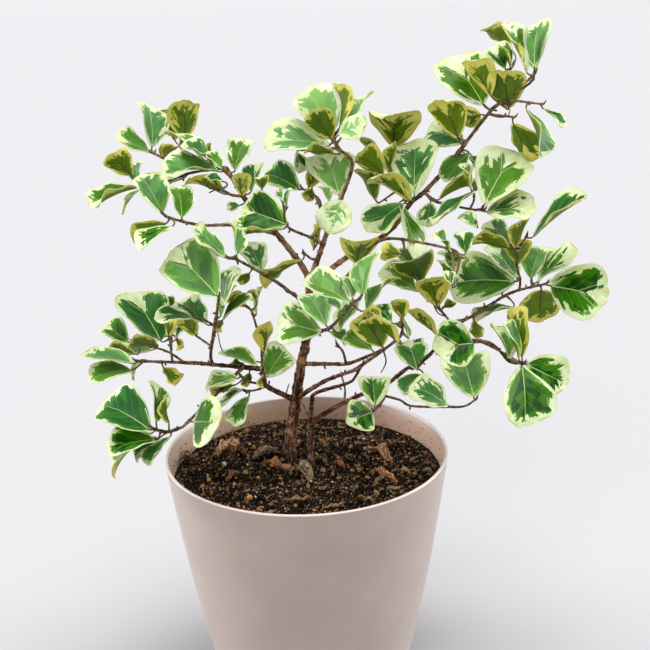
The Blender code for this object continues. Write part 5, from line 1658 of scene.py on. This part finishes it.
def grain_shape():
    """The twelve points and twenty faces of an icosahedron."""
    golden = (1 + math.sqrt(5)) / 2
    points = []
    for a in (-1, 1):
        for b in (-golden, golden):
            points += [Vector((0, a, b)), Vector((a, b, 0)), Vector((b, 0, a))]
    reach = points[0].length
    points = [point / reach for point in points]
    edge = 2 / reach
    faces = []
    for a, b, c in itertools.combinations(range(12), 3):
        pairs = ((a, b), (b, c), (a, c))
        if all(abs((points[p] - points[q]).length - edge) < edge / 10 for p, q in pairs):
            outward = (points[b] - points[a]).cross(points[c] - points[a]).dot(points[a]) > 0
            faces.append((a, b, c) if outward else (a, c, b))
    return points, faces


GRAIN_POINTS, GRAIN_FACES = grain_shape()


def add_grain(skin, points, tint):
    """Adds one grain, whose whole surface has one tint."""
    skin.add(points, GRAIN_FACES, 0, [(tint, 0, 0)] * len(points))


def place_on_soil(chance, reach):
    """A chance place on the soil, in the pot and clear of its wall."""
    radius = (SOIL_RADIUS - reach) * math.sqrt(chance.random())
    angle = chance.uniform(0, math.tau)
    return radius * math.cos(angle), radius * math.sin(angle)


def make_crumbs(material):
    """The crumbs of soil, large and small, half sunk in the bed, and a few on the pot's wall."""
    chance = random.Random(SEED + 1)
    skin = Skin()
    sizes = [chance.uniform(*LUMP_SIZES) for _ in range(LUMPS)]
    low, high = GRAIN_SIZES
    sizes += [low + (high - low) * chance.random() ** GRAIN_SIZE_POWER for _ in range(GRAINS)]
    for size in sizes:
        x, y = place_on_soil(chance, size)
        centre = Vector((x, y, fine_soil_height(x, y) + size * chance.uniform(*GRAIN_RISE)))
        turn = Quaternion([chance.gauss(0, 1) for _ in range(4)])
        turn.normalize()
        shape = Vector([chance.uniform(*GRAIN_SHAPES) for _ in range(3)])
        made = [centre + turn @ (point * shape) * (size / 2 * chance.uniform(*GRAIN_BUMPS))
                for point in GRAIN_POINTS]
        add_grain(skin, made, chance.random())
    for _ in range(WALL_GRAINS):
        size = chance.uniform(*WALL_GRAIN_SIZES)
        height = SOIL_HEIGHT + WALL_GRAIN_REACH * chance.random() ** WALL_GRAIN_POWER
        radius = pot_radius(height) - WALL - size * WALL_GRAIN_SUNK
        angle = chance.uniform(0, math.tau)
        centre = Vector((radius * math.cos(angle), radius * math.sin(angle), height))
        tint = chance.random() * WALL_GRAIN_TINT
        made = [centre + point * (size / 2 * chance.uniform(*WALL_GRAIN_BUMPS)) for point in GRAIN_POINTS]
        add_grain(skin, made, tint)
    skin.piece("soil_crumbs", [material])


def add_flake(skin, centre, turn, length, width, curl, tint, slot):
    """Adds a thin bent flake, such as a chip of bark or a dry bit of leaf."""
    upper = []
    under = []
    place = []
    for row in range(FLAKE_STEPS + 1):
        end = 2 * row / FLAKE_STEPS - 1
        half = width / 2 * (1 - abs(end) ** FLAKE_NARROWS_POWER * FLAKE_NARROWS)
        bend = curl * length * end ** 2
        for side in (-half, half):
            for points, lift in ((upper, FLAKE_THICKNESS / 2), (under, -FLAKE_THICKNESS / 2)):
                points.append(centre + turn @ Vector((end / 2 * length, side, bend + lift)))
            place.append((end / 2 * length / MM, side / MM, tint))
    add_sheet(skin, upper, under, 2, slot, place * 2)


def make_chips(materials):
    """Chips of bark, wood and fibre in the soil."""
    chance = random.Random(SEED + 2)
    skin = Skin()
    low, high = FLAKE_SIZES
    for _ in range(FLAKES):
        length = low + (high - low) * chance.random() ** 2
        width = length * chance.uniform(*FLAKE_WIDTHS)
        x, y = place_on_soil(chance, length)
        centre = Vector((x, y, fine_soil_height(x, y) + chance.uniform(*FLAKE_LIFT)))
        turn = Quaternion((0, 0, 1), chance.uniform(0, math.tau))
        turn = turn @ Quaternion((0, 1, 0), chance.gauss(0, FLAKE_TIP))
        slot = chance.choices((0, 1), FLAKE_KINDS)[0]
        turn = turn @ Quaternion((1, 0, 0), chance.gauss(0, FLAKE_ROLL))
        add_flake(skin, centre, turn, length, width, chance.uniform(*FLAKE_CURL), chance.random(), slot)
    skin.piece("soil_chips", materials)


def add_dry_leaf(skin, ends, width, arch, chance, slot):
    """Adds one dry leaf: a thin sheet along a line, curled across and crumpled."""
    beside = Vector((0, 0, 1)).cross((ends[1] - ends[0]).normalized())
    seed = chance.uniform(0, 50)
    sheet = []
    place = []
    tint = chance.random()
    for row in range(DRY_ROWS + 1):
        share = row / DRY_ROWS
        middle = ends[0].lerp(ends[1], share)
        middle.z = fine_soil_height(middle.x, middle.y) + DRY_LIFT + arch * 4 * share * (1 - share)
        half = width / 2 * math.sin(math.pi * (DRY_BLUNT + (1 - 2 * DRY_BLUNT) * share)) ** DRY_FULLNESS
        for column in range(DRY_COLUMNS + 1):
            side = column / DRY_COLUMNS * 2 - 1
            crumple = noise.noise(Vector((share * DRY_CRUMPLES[0], side * DRY_CRUMPLES[1], seed)))
            lift = Vector((0, 0, half * DRY_CURL * side ** 2 + crumple * width * DRY_CRUMPLE))
            sheet.append(middle + beside * (half * side * DRY_DRAWN_IN) + lift)
            place.append((row * DRY_PATTERN[0], column * DRY_PATTERN[1], tint))
    under = [point - Vector((0, 0, DRY_THICKNESS)) for point in sheet]
    add_sheet(skin, sheet, under, DRY_COLUMNS + 1, slot, place * 2)


def make_dry_leaves(materials):
    """The curled dry leaves and strips of bark that lie on the soil, where the photograph shows them."""
    skin = Skin()
    chance = random.Random(SEED + 3)
    for x0, y0, x1, y1, width, arch, slot in DRY_BITS:
        ends = [point_at_height(x, y, SOIL_HEIGHT) for x, y in ((x0, y0), (x1, y1))]
        add_dry_leaf(skin, ends, width * MM, arch * MM, chance, slot)
    skin.piece("dry_leaves", materials)


def pot_profile():
    """The pot's profile, from its floor's edge over the lip to its foot, and how many points are inside."""
    profile = []
    for step in range(WALL_STEPS + 1):
        height = FLOOR_THICKNESS + (POT_HEIGHT - LIP_ROUND - FLOOR_THICKNESS) * step / WALL_STEPS
        profile.append((pot_radius(height) - WALL, height))
    for step in range(1, LIP_STEPS):
        angle = math.pi * (1 - step / LIP_STEPS)
        profile.append((RIM_RADIUS - WALL / 2 + WALL / 2 * math.cos(angle),
                        POT_HEIGHT - LIP_ROUND + LIP_ROUND * math.sin(angle)))
    inside = len(profile) - LIP_STEPS // 2
    for step in range(WALL_STEPS + 1):
        height = (POT_HEIGHT - LIP_ROUND) * (1 - step / WALL_STEPS) + FOOT_ROUND * step / WALL_STEPS
        profile.append((pot_radius(height), height))
    for step in range(1, FOOT_STEPS + 1):
        angle = -math.pi / 2 * step / FOOT_STEPS
        profile.append((pot_radius(0) - FOOT_ROUND + FOOT_ROUND * math.cos(angle),
                        FOOT_ROUND + FOOT_ROUND * math.sin(angle)))
    return profile, inside


def make_pot(material):
    """The pot, turned finely from the profile of the frame's pot."""
    profile, inside = pot_profile()
    points = [(0, 0, FLOOR_THICKNESS)]
    place = [(1, FLOOR_THICKNESS, 0)]
    for number, (radius, height) in enumerate(profile):
        points += [(radius * x, radius * y, height) for x, y in circle(POT_SIDES)]
        place += [(1 if number < inside else 0, height, 0)] * POT_SIDES
    skin = Skin()
    skin.add(points, turned_faces(len(profile), POT_SIDES), 0, place)
    skin.piece("fine_pot", [material], "pot")


def make_camera():
    """The camera, at the view in which the photograph was read."""
    data = bpy.data.cameras.new("camera")
    data.sensor_width = SENSOR_MM
    data.lens = SENSOR_MM * FOCAL_PX / FRAME_PX
    camera = bpy.data.objects.new("camera", data)
    bpy.context.scene.collection.objects.link(camera)
    camera.location = EYE
    camera.rotation_euler = Matrix((RIGHT, UP, -AHEAD)).transposed().to_euler()
    bpy.context.scene.camera = camera


def add_light(name, comes_from, spread, strength, tint):
    """A soft light from far away, which lights the plant and the whole floor evenly."""
    data = bpy.data.lights.new(name, "SUN")
    data.angle = math.radians(spread)
    data.energy = strength
    data.color = tint
    light = bpy.data.objects.new(name, data)
    bpy.context.scene.collection.objects.link(light)
    light.rotation_euler = Vector(comes_from).to_track_quat("Z", "Y").to_euler()


def make_floor():
    """The floor: a wide plain plane at the pot's base."""
    bpy.ops.mesh.primitive_plane_add(size=FLOOR_REACH * 2)
    floor = bpy.context.object
    floor.name = "floor"
    floor.data.materials.append(Surface("floor").paint("pale"))


def make_surround():
    """A plain surround: as pale as the floor at the horizon, and dimmer towards the top."""
    world = bpy.data.worlds.new("surround")
    bpy.context.scene.world = world
    sky = Shader(world, SURROUND_INKS)
    height = sky.parts(sky.coordinates("Generated"))[2]
    blend = sky.layers("horizon", (sky.ramp(height, *SURROUND_DIMS), "zenith"))
    sky.put(blend, sky.tree.nodes["Background"].inputs["Color"])


def make_studio():
    """A plain pale floor, soft lights and a plain pale surround."""
    make_surround()
    for name, light in LIGHTS.items():
        add_light(name, *light)
    make_floor()
    bpy.context.scene.view_settings.view_transform = "Standard"


def main():
    """Builds every piece round the frame."""
    paths = all_branch_paths()
    leaves = all_leaves(paths)
    bark = bark_material()
    spray_materials = [leaf_material("leaf_upper"), leaf_material("leaf_under_painted_backlight"), stalk_material(), bark]
    for node in GROWTH:
        if node in STEM_NODES:
            make_growth(node, paths, leaves, [bark])
        else:
            make_growth(node, paths, leaves, spray_materials)
    make_pot(pot_material())
    soil = soil_material()
    wood, pale, dry = (litter_material(name) for name in ("wood_chips", "pale_chips", "dry_leaf"))
    make_soil_bed(soil)
    make_crumbs(soil)
    make_chips([wood, pale])
    make_dry_leaves([dry, pale, wood])
    make_camera()
    make_studio()


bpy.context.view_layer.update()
main()
